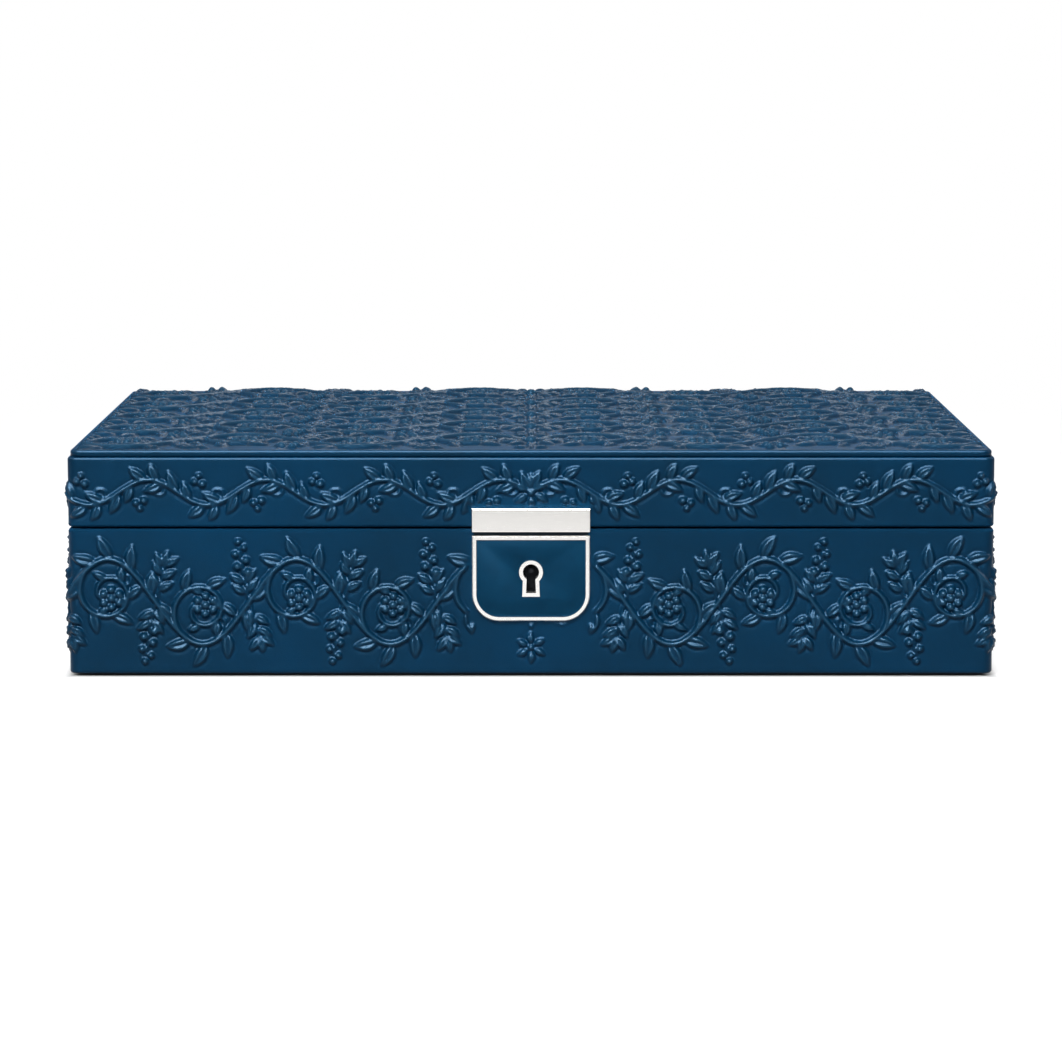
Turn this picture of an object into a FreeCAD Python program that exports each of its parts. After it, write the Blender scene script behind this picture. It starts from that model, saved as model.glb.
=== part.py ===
import FreeCAD, Part
import os
import re
import Sketcher
from FreeCAD import Placement, Rotation, Vector

# A leather-covered jewellery case: a board carcass wrapped in embossed leather, a hinged lid with
# a padded top panel and a mirror, a box lock with a hasp bar, and a lift-out tray with ring rolls.
# Frame: origin under the middle of the case, +X to the right, +Y to the back, +Z up, millimetres.

doc = FreeCAD.newDocument("JewelleryCase")
sheet = doc.addObject("Spreadsheet::Sheet", "Sizes")

# Driving dimensions: alias, millimetres (or a count, or degrees), what it measures
SIZES = [
    ("case_width", 280, "over the leather, left to right"),
    ("case_depth", 200, "over the leather, front to back"),
    ("base_height", 45, "table to the rim of the base"),
    ("seam_gap", 0.6, "between the two rims when shut"),
    ("lid_height", 21.2, "lid rim to the top of the lid walls"),
    ("leather", 1.2, "thickness of the leather wrap"),
    ("corner_radius", 3, "upright corners, over the leather"),
    ("rim_ease", 0.6, "leather eased at the rims"),
    ("turn_in", 12, "leather turned under the base and over the lid boards"),
    ("board_thickness", 8, "carcass walls"),
    ("floor_thickness", 3, "carcass floor board"),
    ("top_thickness", 3, "board that closes the lid"),
    ("lining", 1.2, "suede on thin card"),
    ("lining_drop", 1, "lining edges kept back from the rims"),
    ("cover_thickness", 0.8, "cloth cover under the base"),
    ("cover_inset", 5, "cover kept back from the outside"),
    ("panel_inset", 0.8, "top panel kept back from the lid walls"),
    ("panel_card", 1, "stiff card of the top panel"),
    ("panel_padding", 0.4, "thin wadding over the card"),
    ("panel_leather", 0.8, "leather over the wadding"),
    ("panel_ease", 0.5, "easing of the panel's upper edge"),
    ("mirror_width", 200, "glass, left to right"),
    ("mirror_depth", 130, "glass, front to back"),
    ("mirror_glass", 1.6, "glass thickness"),
    ("mirror_lip", 2, "frame laps over the glass"),
    ("mirror_lip_height", 0.8, "thickness of the lip under the glass"),
    ("hinge_inset", 3, "hinge axis in from the back face"),
    ("hinge_end", 60, "middle of each hinge in from the case's end"),
    ("hinge_length", 40, "length of each hinge"),
    ("knuckle_count", 3, "knuckles along each hinge"),
    ("knuckle_radius", 1.7, "outside of the barrel"),
    ("knuckle_gap", 0.2, "between neighbouring knuckles"),
    ("barrel_clearance", 0.25, "around the barrel"),
    ("pin_radius", 0.8, "hinge pin"),
    ("pin_clearance", 0.05, "around the hinge pin"),
    ("leaf_thickness", 1.2, "hinge leaf"),
    ("leaf_margin", 0.2, "leaf kept back from the inner face of the board"),
    ("stop_angle", 100, "lid opening at which the two bevels meet"),
    ("fit", 0.1, "around pieces let into the leather"),
    ("screw_head_radius", 1.2, "countersunk head"),
    ("screw_head_height", 0.6, "countersunk head"),
    ("screw_shank_radius", 0.6, "shank"),
    ("screw_length", 5, "whole screw"),
    ("screw_clearance", 0.05, "around a screw, pin or rivet"),
    ("lock_step", 0.1, "lock plate in from the hasp bar at each end"),
    ("lock_height", 26, "lock plate"),
    ("lock_drop", 1.9, "base rim down to the top of the lock plate"),
    ("lock_corner_radius", 8.2, "lower corners of the lock plate"),
    ("lock_thickness", 1.4, "lock plate stands proud of the leather"),
    ("lock_rim", 1.25, "bright rim around the inlay"),
    ("lock_floor", 0.5, "plate left under the inlay"),
    ("lock_ease", 0.3, "easing of the rim's outer edge"),
    ("inlay_sink", 0.4, "inlay below the bright rim"),
    ("keyhole_drop", 11.1, "top of the lock plate to the middle of the keyhole"),
    ("key_radius", 2.45, "round part of the keyhole"),
    ("key_length", 6.3, "middle of the round part to the foot of the slot"),
    ("key_neck", 2.45, "slot width at the round part"),
    ("key_foot", 3, "slot width at the foot"),
    ("escutcheon_rim", 1.15, "bright rim around the keyhole"),
    ("escutcheon_thickness", 0.8, "keyhole rim on the plate"),
    ("plate_pin_radius", 0.7, "pins that hold the lock plate"),
    ("plate_pin_length", 2.8, "pins behind the lock plate"),
    ("plate_pin_spacing", 20, "between the pins, left to right"),
    ("hasp_width", 35.8, "bar on the lid"),
    ("hasp_height", 7.3, "bar on the lid"),
    ("hasp_thickness", 1.6, "bar stands proud of the leather"),
    ("hasp_lap", 0.85, "bar hangs below the base rim"),
    ("hasp_relief", 0.3, "bar kept off the base leather"),
    ("hasp_round", 0.4, "rounding of the bar's front edges"),
    ("rivet_radius", 0.9, "rivets behind the bar"),
    ("rivet_length", 5, "rivets behind the bar"),
    ("rivet_spacing", 16, "between the two rivets"),
    ("case_lock_width", 32, "sheet-metal lock case"),
    ("case_lock_height", 24, "lock case below the board's top"),
    ("case_lock_depth", 6, "lock case with its cap"),
    ("lock_sheet", 1, "sheet of the lock case and cap"),
    ("cap_ear", 4, "cap reaches past the case, for its screws"),
    ("post_radius", 0.8, "post that the hollow key turns on"),
    ("post_length", 5.6, "post in front of the cap"),
    ("link_thickness", 1.2, "link plate in the lid rim"),
    ("link_screw_inset", 3.5, "screws in from the plate's ends"),
    ("hook_stem", 3, "width of the hook's stem"),
    ("hook_foot", 3.5, "hook's foot past the stem"),
    ("hook_foot_height", 2, "hook's foot"),
    ("hook_drop", 7.6, "lid rim to the underside of the hook"),
    ("hook_thickness", 2.4, "hook and bolt, front to back"),
    ("hook_clearance", 0.4, "around the hook, in its slot and at the bolt"),
    ("tip_clearance", 0.3, "thrown bolt's tip to the hook's stem"),
    ("bolt_bar_height", 3, "bar of the bolt"),
    ("bolt_finger_height", 2.2, "finger over the hook's foot"),
    ("bolt_arm", 3.5, "arm between bar and finger"),
    ("talon_depth", 1.4, "notch that the key turns in"),
    ("stump_radius", 0.6, "guide stump in the bolt's slot"),
    ("stump_offset", 8, "stump to the left of the keyhole"),
    ("stump_clearance", 0.1, "around the stump"),
    ("spring_strip", 0.4, "thickness of the bow spring"),
    ("spring_width", 2, "bow spring, front to back"),
    ("spring_gap", 0.1, "above and below the bow spring"),
    ("spring_side", 1, "bow spring to the hook's stem"),
    ("lower_depth", 16, "height of the dividers under the tray"),
    ("lower_spacing", 84, "between the two dividers under the tray"),
    ("divider_thickness", 2.5, "all dividers"),
    ("tray_clearance", 0.5, "tray to the linings"),
    ("tray_seat_gap", 0.1, "tray above the lower dividers"),
    ("tray_floor_thickness", 2.5, "tray floor"),
    ("tray_wall", 2.5, "tray walls"),
    ("tray_wall_height", 17.5, "tray walls above the tray floor"),
    ("divider_drop", 2, "tray dividers below the tray walls"),
    ("ring_column", 92, "width of the ring roll column"),
    ("ring_count", 6, "ring rolls side by side"),
    ("ring_gap", 0.3, "around each ring roll"),
    ("ring_height", 15, "ring roll above the tray floor"),
    ("ring_draw", 2, "ring roll drawn in at its ends"),
    ("tab_width", 14, "pull tab"),
    ("tab_thickness", 0.8, "pull tab"),
    ("tab_above", 5, "pull tab above the tray wall"),
    ("tab_below", 10, "pull tab glued down the tray wall"),
    ("tab_round", 4, "upper corners of a pull tab"),
]
for row, (alias, size, note) in enumerate(SIZES, 1):
    sheet.set(f"A{row}", alias)
    sheet.set(f"B{row}", str(size))
    sheet.set(f"C{row}", note)
    sheet.setAlias(f"B{row}", alias)
doc.recompute()
ALIASES = {alias for alias, size, note in SIZES}

# Places that follow from the driving dimensions
PLACES = {
    "half_width": "case_width / 2",
    "half_depth": "case_depth / 2",
    "board_x": "half_width - leather",
    "board_y": "half_depth - leather",
    "room_x": "board_x - board_thickness",
    "room_y": "board_y - board_thickness",
    "lined_x": "room_x - lining",
    "lined_y": "room_y - lining",
    "base_board_low": "cover_thickness + leather",
    "base_board_high": "base_height - leather",
    "floor_top": "base_board_low + floor_thickness",
    "lining_floor_top": "floor_top + lining",
    "lid_rim": "base_height + seam_gap",
    "lid_top": "lid_rim + lid_height",
    "lid_board_low": "lid_rim + leather",
    "lid_board_high": "lid_top - leather",
    "ceiling": "lid_board_high - top_thickness",
    "panel_x": "half_width - panel_inset",
    "panel_y": "half_depth - panel_inset",
    "card_top": "lid_top + panel_card",
    "padding_top": "card_top + panel_padding",
    "mirror_low": "ceiling - mirror_glass",
    "hinge_y": "half_depth - hinge_inset",
    "hinge_z": "base_height + seam_gap / 2",
    "leaf_low_y": "room_y + leaf_margin",
    "leaf_high_y": "hinge_y - knuckle_radius - barrel_clearance",
    "knuckle_pitch": "hinge_length / knuckle_count",
    "lock_width": "hasp_width - 2 * lock_step",
    "lock_top": "base_height - lock_drop",
    "lock_low": "lock_top - lock_height",
    "keyhole_z": "lock_top - keyhole_drop",
    "lock_case_x": "case_lock_width / 2",
    "lock_case_low": "base_board_high - case_lock_height",
    "lock_case_front": "-(room_y + case_lock_depth)",
    "lock_cavity_x": "lock_case_x - lock_sheet",
    "lock_cap_front": "-(room_y + lock_sheet)",
    "lock_middle": "(lock_case_front + lock_sheet + lock_cap_front) / 2",
    "hook_low": "lid_rim - hook_drop",
    "hook_foot_top": "hook_low + hook_foot_height",
    "hook_tip": "hook_stem / 2 + hook_foot",
    "bolt_travel": "hook_foot + hook_clearance - tip_clearance",
    "bolt_tip": "hook_tip + hook_clearance",
    "bolt_arm_left": "hook_tip + hook_clearance + bolt_travel",
    "bolt_arm_right": "bolt_arm_left + bolt_arm",
    "bolt_tail": "-(lock_cavity_x - hook_clearance - bolt_travel)",
    "bar_high": "hook_low - hook_clearance",
    "bar_low": "bar_high - bolt_bar_height",
    "bar_middle": "bar_high - bolt_bar_height / 2",
    "finger_low": "hook_foot_top + hook_clearance",
    "finger_high": "finger_low + bolt_finger_height",
    "spring_radius": "base_board_high - bar_high - 2 * spring_gap",
    "spring_x": "-(hook_stem / 2 + spring_side + spring_radius)",
    "spring_z": "base_board_high - spring_gap",
    "tray_x": "lined_x - tray_clearance",
    "tray_y": "lined_y - tray_clearance",
    "tray_in_x": "tray_x - tray_wall",
    "tray_in_y": "tray_y - tray_wall",
    "tray_low": "lining_floor_top + lower_depth + tray_seat_gap",
    "tray_floor_top": "tray_low + tray_floor_thickness",
    "tray_top": "tray_floor_top + tray_wall_height",
    "divider_top": "tray_top - divider_drop",
    "column_in": "ring_column / 2",
    "column_out": "column_in + divider_thickness",
    "ring_pitch": "ring_column / ring_count",
    "ring_width": "ring_pitch - ring_gap",
}


def expr(text):
    """Write out a formula in driving dimensions, as the document reads it."""
    def word(match):
        name = match.group(0)
        if name in ALIASES:
            return "Sizes." + name
        if name in PLACES:
            return "(" + expr(PLACES[name]) + ")"
        return name
    return re.sub(r"[a-z_]+", word, text)


def value(text):
    return float(sheet.evalExpression(expr(text)))


def bind(thing, prop, text):
    thing.setExpression(prop, expr(text))


nodes = []


def piece(thing, label):
    """Name a finished sub-part; the label is also its file's name."""
    thing.Label = label
    nodes.append(thing)
    return thing


# Solids and booleans that the sub-parts are made from

def block(name, x, y, z):
    """A box between pairs of formulas along X, Y and Z."""
    box = doc.addObject("Part::Box", name)
    for side, axis, (low, high) in (("Length", "x", x), ("Width", "y", y), ("Height", "z", z)):
        bind(box, side, f"({high}) - ({low})")
        bind(box, "Placement.Base." + axis, low)
    return box


DIRECTIONS = {
    "up": Rotation(),
    "down": Rotation(Vector(1, 0, 0), 180),
    "right": Rotation(Vector(0, 1, 0), 90),
    "forward": Rotation(Vector(1, 0, 0), 90),
    "back": Rotation(Vector(1, 0, 0), -90),
}


def place(thing, spot, direction):
    thing.Placement = Placement(Vector(), DIRECTIONS[direction])
    for axis, text in zip("xyz", spot):
        bind(thing, "Placement.Base." + axis, text)
    return thing


def rod(name, spot, direction, radius, length):
    """A round bar from a spot along a direction."""
    bar = doc.addObject("Part::Cylinder", name)
    bind(bar, "Radius", radius)
    bind(bar, "Height", length)
    return place(bar, spot, direction)


def cut(name, base, *tools):
    """Take each tool away in turn; the last result carries the plain name."""
    for number, tool in enumerate(tools, 1):
        last = number == len(tools)
        result = doc.addObject("Part::Cut", name if last else f"{name}_cut_{number}")
        result.Base = base
        result.Tool = tool
        base = result
    return base


def fuse(name, *solids):
    result = doc.addObject("Part::MultiFuse", name)
    result.Shapes = list(solids)
    return result


def common(name, base, tool):
    result = doc.addObject("Part::Common", name)
    result.Base = base
    result.Tool = tool
    return result


def group(name, solids):
    result = doc.addObject("Part::Compound", name)
    result.Links = list(solids)
    return result


# Sketched bodies

def new_sketch(body, name, plane_role, height):
    sketch = body.newObject("Sketcher::SketchObject", name)
    planes = [plane for plane in body.Origin.OriginFeatures if plane.Role == plane_role]
    sketch.AttachmentSupport = [(planes[0], "")]
    sketch.MapMode = "FlatFace"
    bind(sketch, "AttachmentOffset.Base.z", height)
    return sketch


def pin_point(sketch, line, end, u, v):
    """Hold one point of a sketch at formulas for both its coordinates."""
    for kind, text in (("DistanceX", u), ("DistanceY", v)):
        index = sketch.addConstraint(Sketcher.Constraint(kind, -1, 1, line, end, value(text)))
        bind(sketch, f"Constraints[{index}]", text)


def outline(body, name, points, plane_role="XY_Plane", height="0"):
    """A closed sketch of straight lines through points given as formulas."""
    sketch = new_sketch(body, name, plane_role, height)
    spots = [Vector(value(u), value(v), 0) for u, v in points]
    for start, end in zip(spots, spots[1:] + spots[:1]):
        sketch.addGeometry(Part.LineSegment(start, end))
    for line in range(len(spots)):
        follower = (line + 1) % len(spots)
        sketch.addConstraint(Sketcher.Constraint("Coincident", line, 2, follower, 1))
    for line, (u, v) in enumerate(points):
        pin_point(sketch, line, 1, u, v)
    return sketch


def disc(body, name, u, v, radius, height="0"):
    """A sketch of one circle."""
    sketch = new_sketch(body, name, "XY_Plane", height)
    circle = Part.Circle(Vector(value(u), value(v), 0), Vector(0, 0, 1), value(radius))
    sketch.addGeometry(circle)
    pin_point(sketch, 0, 3, u, v)
    index = sketch.addConstraint(Sketcher.Constraint("Radius", 0, value(radius)))
    bind(sketch, f"Constraints[{index}]", radius)
    return sketch


def pad(body, sketch, length, both_sides=False):
    feature = body.newObject("PartDesign::Pad", sketch.Name + "_pad")
    feature.Profile = sketch
    bind(feature, "Length", length)
    feature.Midplane = both_sides
    doc.recompute()
    return feature


def chosen_edges(feature, chosen):
    """The edges whose middle and direction pass a test."""
    names = []
    for number, edge in enumerate(feature.Shape.Edges, 1):
        middle = edge.CenterOfMass
        along = edge.Vertexes[-1].Point - edge.Vertexes[0].Point
        if chosen(middle, along):
            names.append(f"Edge{number}")
    return names


def rounded(body, feature, radius, chosen):
    """Round the chosen edges."""
    fillet = body.newObject("PartDesign::Fillet", feature.Name + "_round")
    fillet.Base = (feature, chosen_edges(feature, chosen))
    bind(fillet, "Radius", radius)
    doc.recompute()
    return fillet


def eased(body, feature, size, chosen):
    """Take the sharpness off the chosen edges with a small flat."""
    chamfer = body.newObject("PartDesign::Chamfer", feature.Name + "_ease")
    chamfer.Base = (feature, chosen_edges(feature, chosen))
    bind(chamfer, "Size", size)
    doc.recompute()
    return chamfer


def upright(middle, along):
    return abs(along.z) > 0.99 * along.Length > 0


def rectangle(x, y):
    return [(x[0], y[0]), (x[1], y[0]), (x[1], y[1]), (x[0], y[1])]


def slab(name, half_x, half_y, low, thickness, corner, top_ease=None):
    """A flat sheet centred on the case, with rounded corners and, if asked, an eased top edge."""
    body = doc.addObject("PartDesign::Body", name)
    corners = rectangle((f"-({half_x})", half_x), (f"-({half_y})", half_y))
    feature = pad(body, outline(body, name + "_plan", corners, height=low), thickness)
    feature = rounded(body, feature, corner, upright)
    if top_ease:
        top = value(low) + value(thickness)
        eased(body, feature, top_ease, lambda middle, along: abs(middle.z - top) < 1e-6)
    return body


def elevation(name, y):
    """A body drawn as seen from the front: sketch X and Y are the case's X and Z, pads come forward."""
    body = doc.addObject("PartDesign::Body", name)
    return place(body, ("0", y, "0"), "forward")


# Carcass: the outer envelope of each half, bevelled along the back so that the lid stops when open

BEVEL = "stop_angle / 2"


def envelope(name, low, high, inset, rim_at_top):
    """One half of the case, drawn in side view, kept back from the leather's face by inset."""
    back = f"half_depth - {inset}"
    bevel_in = f"hinge_y + ({inset} - {inset} / cos({BEVEL})) / tan({BEVEL})"
    bevel_rise = f"{inset} / cos({BEVEL}) + (hinge_inset - {inset}) * tan({BEVEL})"
    if rim_at_top:
        side = [(back, low), (back, f"base_height - ({bevel_rise})"), (bevel_in, high)]
        side += [(f"-({back})", high), (f"-({back})", low)]
    else:
        side = [(bevel_in, low), (back, f"lid_rim + {bevel_rise}"), (back, high)]
        side += [(f"-({back})", high), (f"-({back})", low)]
    body = doc.addObject("PartDesign::Body", name)
    sketch = outline(body, name + "_side", side, "YZ_Plane")
    feature = pad(body, sketch, f"case_width - 2 * {inset}", both_sides=True)
    rounded(body, feature, f"max(corner_radius - {inset}; 0.2)", upright)
    return body


def ease_rims(body, levels):
    """Ease the leather where it turns over, all along the edges at the given heights."""
    bevel_line = value("hinge_y") - value("knuckle_radius")

    def on_a_rim(middle, along):
        level = any(abs(middle.z - value(height)) < 1e-6 for height in levels)
        is_bevel = abs(along.x) > value("room_x") and bevel_line < middle.y < value("board_y")
        return level and not is_bevel and abs(along.z) < 1e-6

    eased(body, body.Tip, "rim_ease", on_a_rim)


base_outer = envelope("base_outer", "cover_thickness", "base_height", "0", True)
ease_rims(base_outer, ["cover_thickness", "base_height"])
base_boards = envelope("base_boards", "base_board_low", "base_board_high", "leather", True)
lid_outer = envelope("lid_outer", "lid_rim", "lid_top", "0", False)
ease_rims(lid_outer, ["lid_rim", "lid_top"])
lid_boards = envelope("lid_boards", "lid_board_low", "lid_board_high", "leather", False)


# Hinge seats that the boards and the leather share

SIDES = {"left": "-(half_width - hinge_end)", "right": "half_width - hinge_end"}
LEAF_LEVELS = {
    "base": ("base_height - leaf_thickness", "base_height"),
    "lid": ("lid_rim", "lid_rim + leaf_thickness"),
}
barrel_seats = []
leaf_seats = {"base": [], "lid": []}
for side, middle in SIDES.items():
    start = f"{middle} - hinge_length / 2 - knuckle_gap"
    spot = (start, "hinge_y", "hinge_z")
    radius = "knuckle_radius + barrel_clearance"
    length = "hinge_length + 2 * knuckle_gap"
    barrel_seats.append(rod("barrel_seat_" + side, spot, "right", radius, length))
    for half, level in LEAF_LEVELS.items():
        x = (f"{middle} - hinge_length / 2 - fit", f"{middle} + hinge_length / 2 + fit")
        seat = block(f"leaf_seat_{half}_{side}", x, ("leaf_low_y - fit", "hinge_y"), level)
        leaf_seats[half].append(seat)


# Screws, and the holes that they sit in

def screw_set(name, spots, direction, room="0"):
    """Countersunk screws from the middle of each head; room widens them into their own holes."""
    screws = []
    for number, spot in enumerate(spots, 1):
        head = doc.addObject("Part::Cone", f"{name}_head_{number}")
        bind(head, "Radius1", f"screw_head_radius + {room}")
        bind(head, "Radius2", f"screw_shank_radius + {room}")
        bind(head, "Height", "screw_head_height")
        place(head, spot, direction)
        radius = f"screw_shank_radius + {room}"
        shank = rod(f"{name}_shank_{number}", spot, direction, radius, f"screw_length + {room}")
        screws.append(fuse(f"{name}_{number}", head, shank))
    return group(name, screws)


def hinge_screw_spots(height):
    spots = []
    for middle in SIDES.values():
        for step in ("-(hinge_length / 4)", "hinge_length / 4"):
            spots.append((f"{middle} + {step}", "(leaf_low_y + leaf_high_y) / 2", height))
    return spots


CLEAR = "screw_clearance"
base_hinge_spots = hinge_screw_spots("base_height")
lid_hinge_spots = hinge_screw_spots("lid_rim")
cap_screw_x = "lock_case_x + cap_ear / 2"
cap_screw_z = "(lock_case_low + base_board_high) / 2"
lock_spots = [(x, "-(room_y)", cap_screw_z) for x in (f"-({cap_screw_x})", cap_screw_x)]
link_screw_x = "lock_case_x - link_screw_inset"
link_spots = [(x, "lock_middle", "lid_rim") for x in (f"-({link_screw_x})", link_screw_x)]
piece(screw_set("hinge_base_screws", base_hinge_spots, "down"), "hinge_base_screws")
piece(screw_set("hinge_lid_screws", lid_hinge_spots, "up"), "hinge_lid_screws")
piece(screw_set("lock_screws", lock_spots, "forward"), "lock_screws")
piece(screw_set("link_screws", link_spots, "up"), "link_screws")
base_hinge_holes = screw_set("hinge_base_holes", base_hinge_spots, "down", CLEAR)
lid_hinge_holes = screw_set("hinge_lid_holes", lid_hinge_spots, "up", CLEAR)
lock_holes = screw_set("lock_holes", lock_spots, "forward", CLEAR)
link_holes = screw_set("link_holes", link_spots, "up", CLEAR)


# Lock plate on the base, seen from the front: bright rim, leather inlay and keyhole rim

def shield(name, y, inset, low, thickness, edge_ease=None):
    """The lock plate's outline: square above, round corners below, kept in from its edge by inset."""
    body = elevation(name, y)
    half = f"lock_width / 2 - ({inset})"
    corners = rectangle((f"-({half})", half), (f"lock_low + {inset}", f"lock_top - ({inset})"))
    feature = pad(body, outline(body, name + "_front", corners, height=low), thickness)
    foot = value("lock_low") + value(inset)
    feature = rounded(body, feature, f"lock_corner_radius - ({inset})",
                      lambda middle, along: upright(middle, along) and abs(middle.y - foot) < 1e-6)
    if edge_ease:
        front = value(low) + value(thickness)
        eased(body, feature, edge_ease, lambda middle, along: abs(middle.z - front) < 1e-6)
    return body


def key_shape(name, y, grow, low, thickness):
    """A keyhole's outline, round above a slot that widens to its foot, grown all round."""
    body = elevation(name, y)
    neck = f"key_neck / 2 + {grow}"
    foot = f"key_foot / 2 + {grow}"
    foot_z = f"keyhole_z - key_length - ({grow})"
    pad(body, disc(body, name + "_round", "0", "keyhole_z", f"key_radius + {grow}", low), thickness)
    slot = [(f"-({foot})", foot_z), (foot, foot_z), (neck, "keyhole_z"), (f"-({neck})", "keyhole_z")]
    pad(body, outline(body, name + "_slot", slot, height=low), thickness)
    return body


FACE = "-(half_depth)"
key_way_depth = "lock_thickness + leather + board_thickness - case_lock_depth + lock_sheet"
key_way_back = "lock_case_front + lock_sheet"
key_way = key_shape("key_way", key_way_back, "fit", "0", key_way_depth)

plate_blank = shield("plate_blank", FACE, "0", "0", "lock_thickness", "lock_ease")
plate_field = shield("plate_field", FACE, "lock_rim", "lock_floor", "lock_thickness")
lock_plate = piece(cut("lock_plate", plate_blank, plate_field, key_way), "lock_plate")

inlay_depth = "lock_thickness - inlay_sink - lock_floor"
inlay_blank = shield("inlay_blank", FACE, "lock_rim", "lock_floor", inlay_depth)
rim_seat = key_shape("rim_seat", FACE, "escutcheon_rim", "lock_floor", "lock_thickness")
piece(cut("lock_inlay", inlay_blank, rim_seat), "lock_inlay")

rim_blank = key_shape("rim_blank", FACE, "escutcheon_rim", "lock_floor", "escutcheon_thickness")
rim_hole = key_shape("rim_hole", FACE, "0", "0", "lock_thickness")
piece(cut("keyhole_escutcheon", rim_blank, rim_hole), "keyhole_escutcheon")


def plate_pins(name, room):
    """Two pins behind the lock plate; room widens them into their holes."""
    pins = []
    for x in ("-(plate_pin_spacing / 2)", "plate_pin_spacing / 2"):
        spot = (x, FACE, "(lock_low + lock_top) / 2")
        pin = rod(f"{name}_{len(pins) + 1}", spot, "back", f"plate_pin_radius + {room}", "plate_pin_length")
        pins.append(pin)
    return group(name, pins)


piece(plate_pins("lock_plate_pins", "0"), "lock_plate_pins")
plate_pin_holes = plate_pins("plate_pin_holes", CLEAR)


# Lock inside the front board: case, cap, post, guide stump, bolt and bow spring

case_x = ("-(lock_case_x)", "lock_case_x")
mortise = block("mortise", case_x, ("lock_case_front", "-(room_y)"), ("lock_case_low", "base_board_high"))
ear_x = ("-(lock_case_x + cap_ear)", "lock_case_x + cap_ear")
ear_seat = block("ear_seat", ear_x, ("lock_cap_front", "-(room_y)"), ("lock_case_low", "base_board_high"))
selvedge_seat = block("selvedge_seat", case_x, ("lock_case_front", "-(room_y)"),
                      ("base_board_high", "base_height"))
hook_slot = block("hook_slot", ("-(hook_stem / 2 + hook_clearance)", "hook_tip + hook_clearance"),
                  ("lock_middle - hook_thickness / 2 - hook_clearance",
                   "lock_middle + hook_thickness / 2 + hook_clearance"),
                  ("base_board_high", "base_height"))

pan = block("lock_pan", case_x, ("lock_case_front", "lock_cap_front"), ("lock_case_low", "base_board_high"))
cavity = block("lock_cavity", ("-(lock_cavity_x)", "lock_cavity_x"),
               ("lock_case_front + lock_sheet", "lock_cap_front"),
               ("lock_case_low + lock_sheet", "base_board_high"))
selvedge = block("lock_selvedge", case_x, ("lock_case_front", "-(room_y)"),
                 ("base_board_high", "base_height"))
front_key_way = key_shape("front_key_way", key_way_back, "fit", "0", "lock_sheet")
hollow_pan = cut("hollow_pan", pan, cavity, front_key_way)
piece(fuse("lock_case", hollow_pan, cut("slotted_selvedge", selvedge, hook_slot)), "lock_case")

cap_blank = block("cap_blank", ear_x, ("lock_cap_front", "-(room_y)"), ("lock_case_low", "base_board_high"))
piece(cut("lock_cap", cap_blank, lock_holes), "lock_cap")
piece(rod("key_post", ("0", "lock_cap_front", "keyhole_z"), "forward", "post_radius", "post_length"),
      "key_post")
piece(rod("bolt_stump", ("-stump_offset", "lock_case_front + lock_sheet", "bar_middle"), "back",
          "stump_radius", "lock_cap_front - lock_case_front - lock_sheet"), "bolt_stump")

bolt_back = "lock_middle + hook_thickness / 2"
bolt_body = elevation("bolt_blank", bolt_back)
bolt_front = [
    ("bolt_tail", "bar_low"), ("0", "bar_low"), ("0", "bar_low + talon_depth"),
    ("bolt_travel", "bar_low + talon_depth"), ("bolt_travel", "bar_low"),
    ("bolt_arm_right", "bar_low"), ("bolt_arm_right", "finger_high"), ("bolt_tip", "finger_high"),
    ("bolt_tip", "finger_low"), ("bolt_arm_left", "finger_low"), ("bolt_arm_left", "bar_high"),
    ("bolt_tail", "bar_high"),
]
pad(bolt_body, outline(bolt_body, "bolt_front", bolt_front), "hook_thickness")
stump_room = "stump_radius + stump_clearance"
stump_slot = block("stump_slot", (f"-stump_offset - ({stump_room})", f"bolt_travel + {stump_room} - stump_offset"),
                   ("lock_case_front", "lock_cap_front"),
                   (f"bar_middle - ({stump_room})", f"bar_middle + {stump_room}"))
piece(cut("lock_bolt", bolt_body, stump_slot), "lock_bolt")

spring_spot = ("spring_x", "lock_middle - spring_width / 2", "spring_z")
bow_outside = rod("bow_outside", spring_spot, "back", "spring_radius", "spring_width")
bow_inside = rod("bow_inside", spring_spot, "back", "spring_radius - spring_strip", "spring_width")
bow_outside.Angle = 180
piece(cut("bolt_spring", bow_outside, bow_inside), "bolt_spring")


# Hasp bar and link plate with its hook, on the lid

hasp_body = elevation("hasp_blank", FACE)
hasp_z = ("base_height - hasp_lap", "base_height - hasp_lap + hasp_height")
hasp_corners = rectangle(("-(hasp_width / 2)", "hasp_width / 2"), hasp_z)
hasp_pad = pad(hasp_body, outline(hasp_body, "hasp_front", hasp_corners), "hasp_thickness")
hasp_front = value("hasp_thickness")
rounded(hasp_body, hasp_pad, "hasp_round", lambda middle, along: abs(middle.z - hasp_front) < 1e-6)
hasp_gap = block("hasp_gap", ("-(hasp_width)", "hasp_width"), ("-(half_depth) - hasp_relief", "-(half_depth)"),
                 ("lock_low", "lid_rim"))
piece(cut("hasp_bar", hasp_body, hasp_gap), "hasp_bar")


def hasp_rivets(name, room):
    """Two rivets behind the bar; room widens them into their holes."""
    rivets = []
    for x in ("-(rivet_spacing / 2)", "rivet_spacing / 2"):
        spot = (x, FACE, "base_height - hasp_lap + hasp_height / 2 + rivet_radius")
        rivet = rod(f"{name}_{len(rivets) + 1}", spot, "back", f"rivet_radius + {room}", "rivet_length")
        rivets.append(rivet)
    return group(name, rivets)


piece(hasp_rivets("hasp_rivets", "0"), "hasp_rivets")
rivet_holes = hasp_rivets("rivet_holes", CLEAR)

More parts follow.
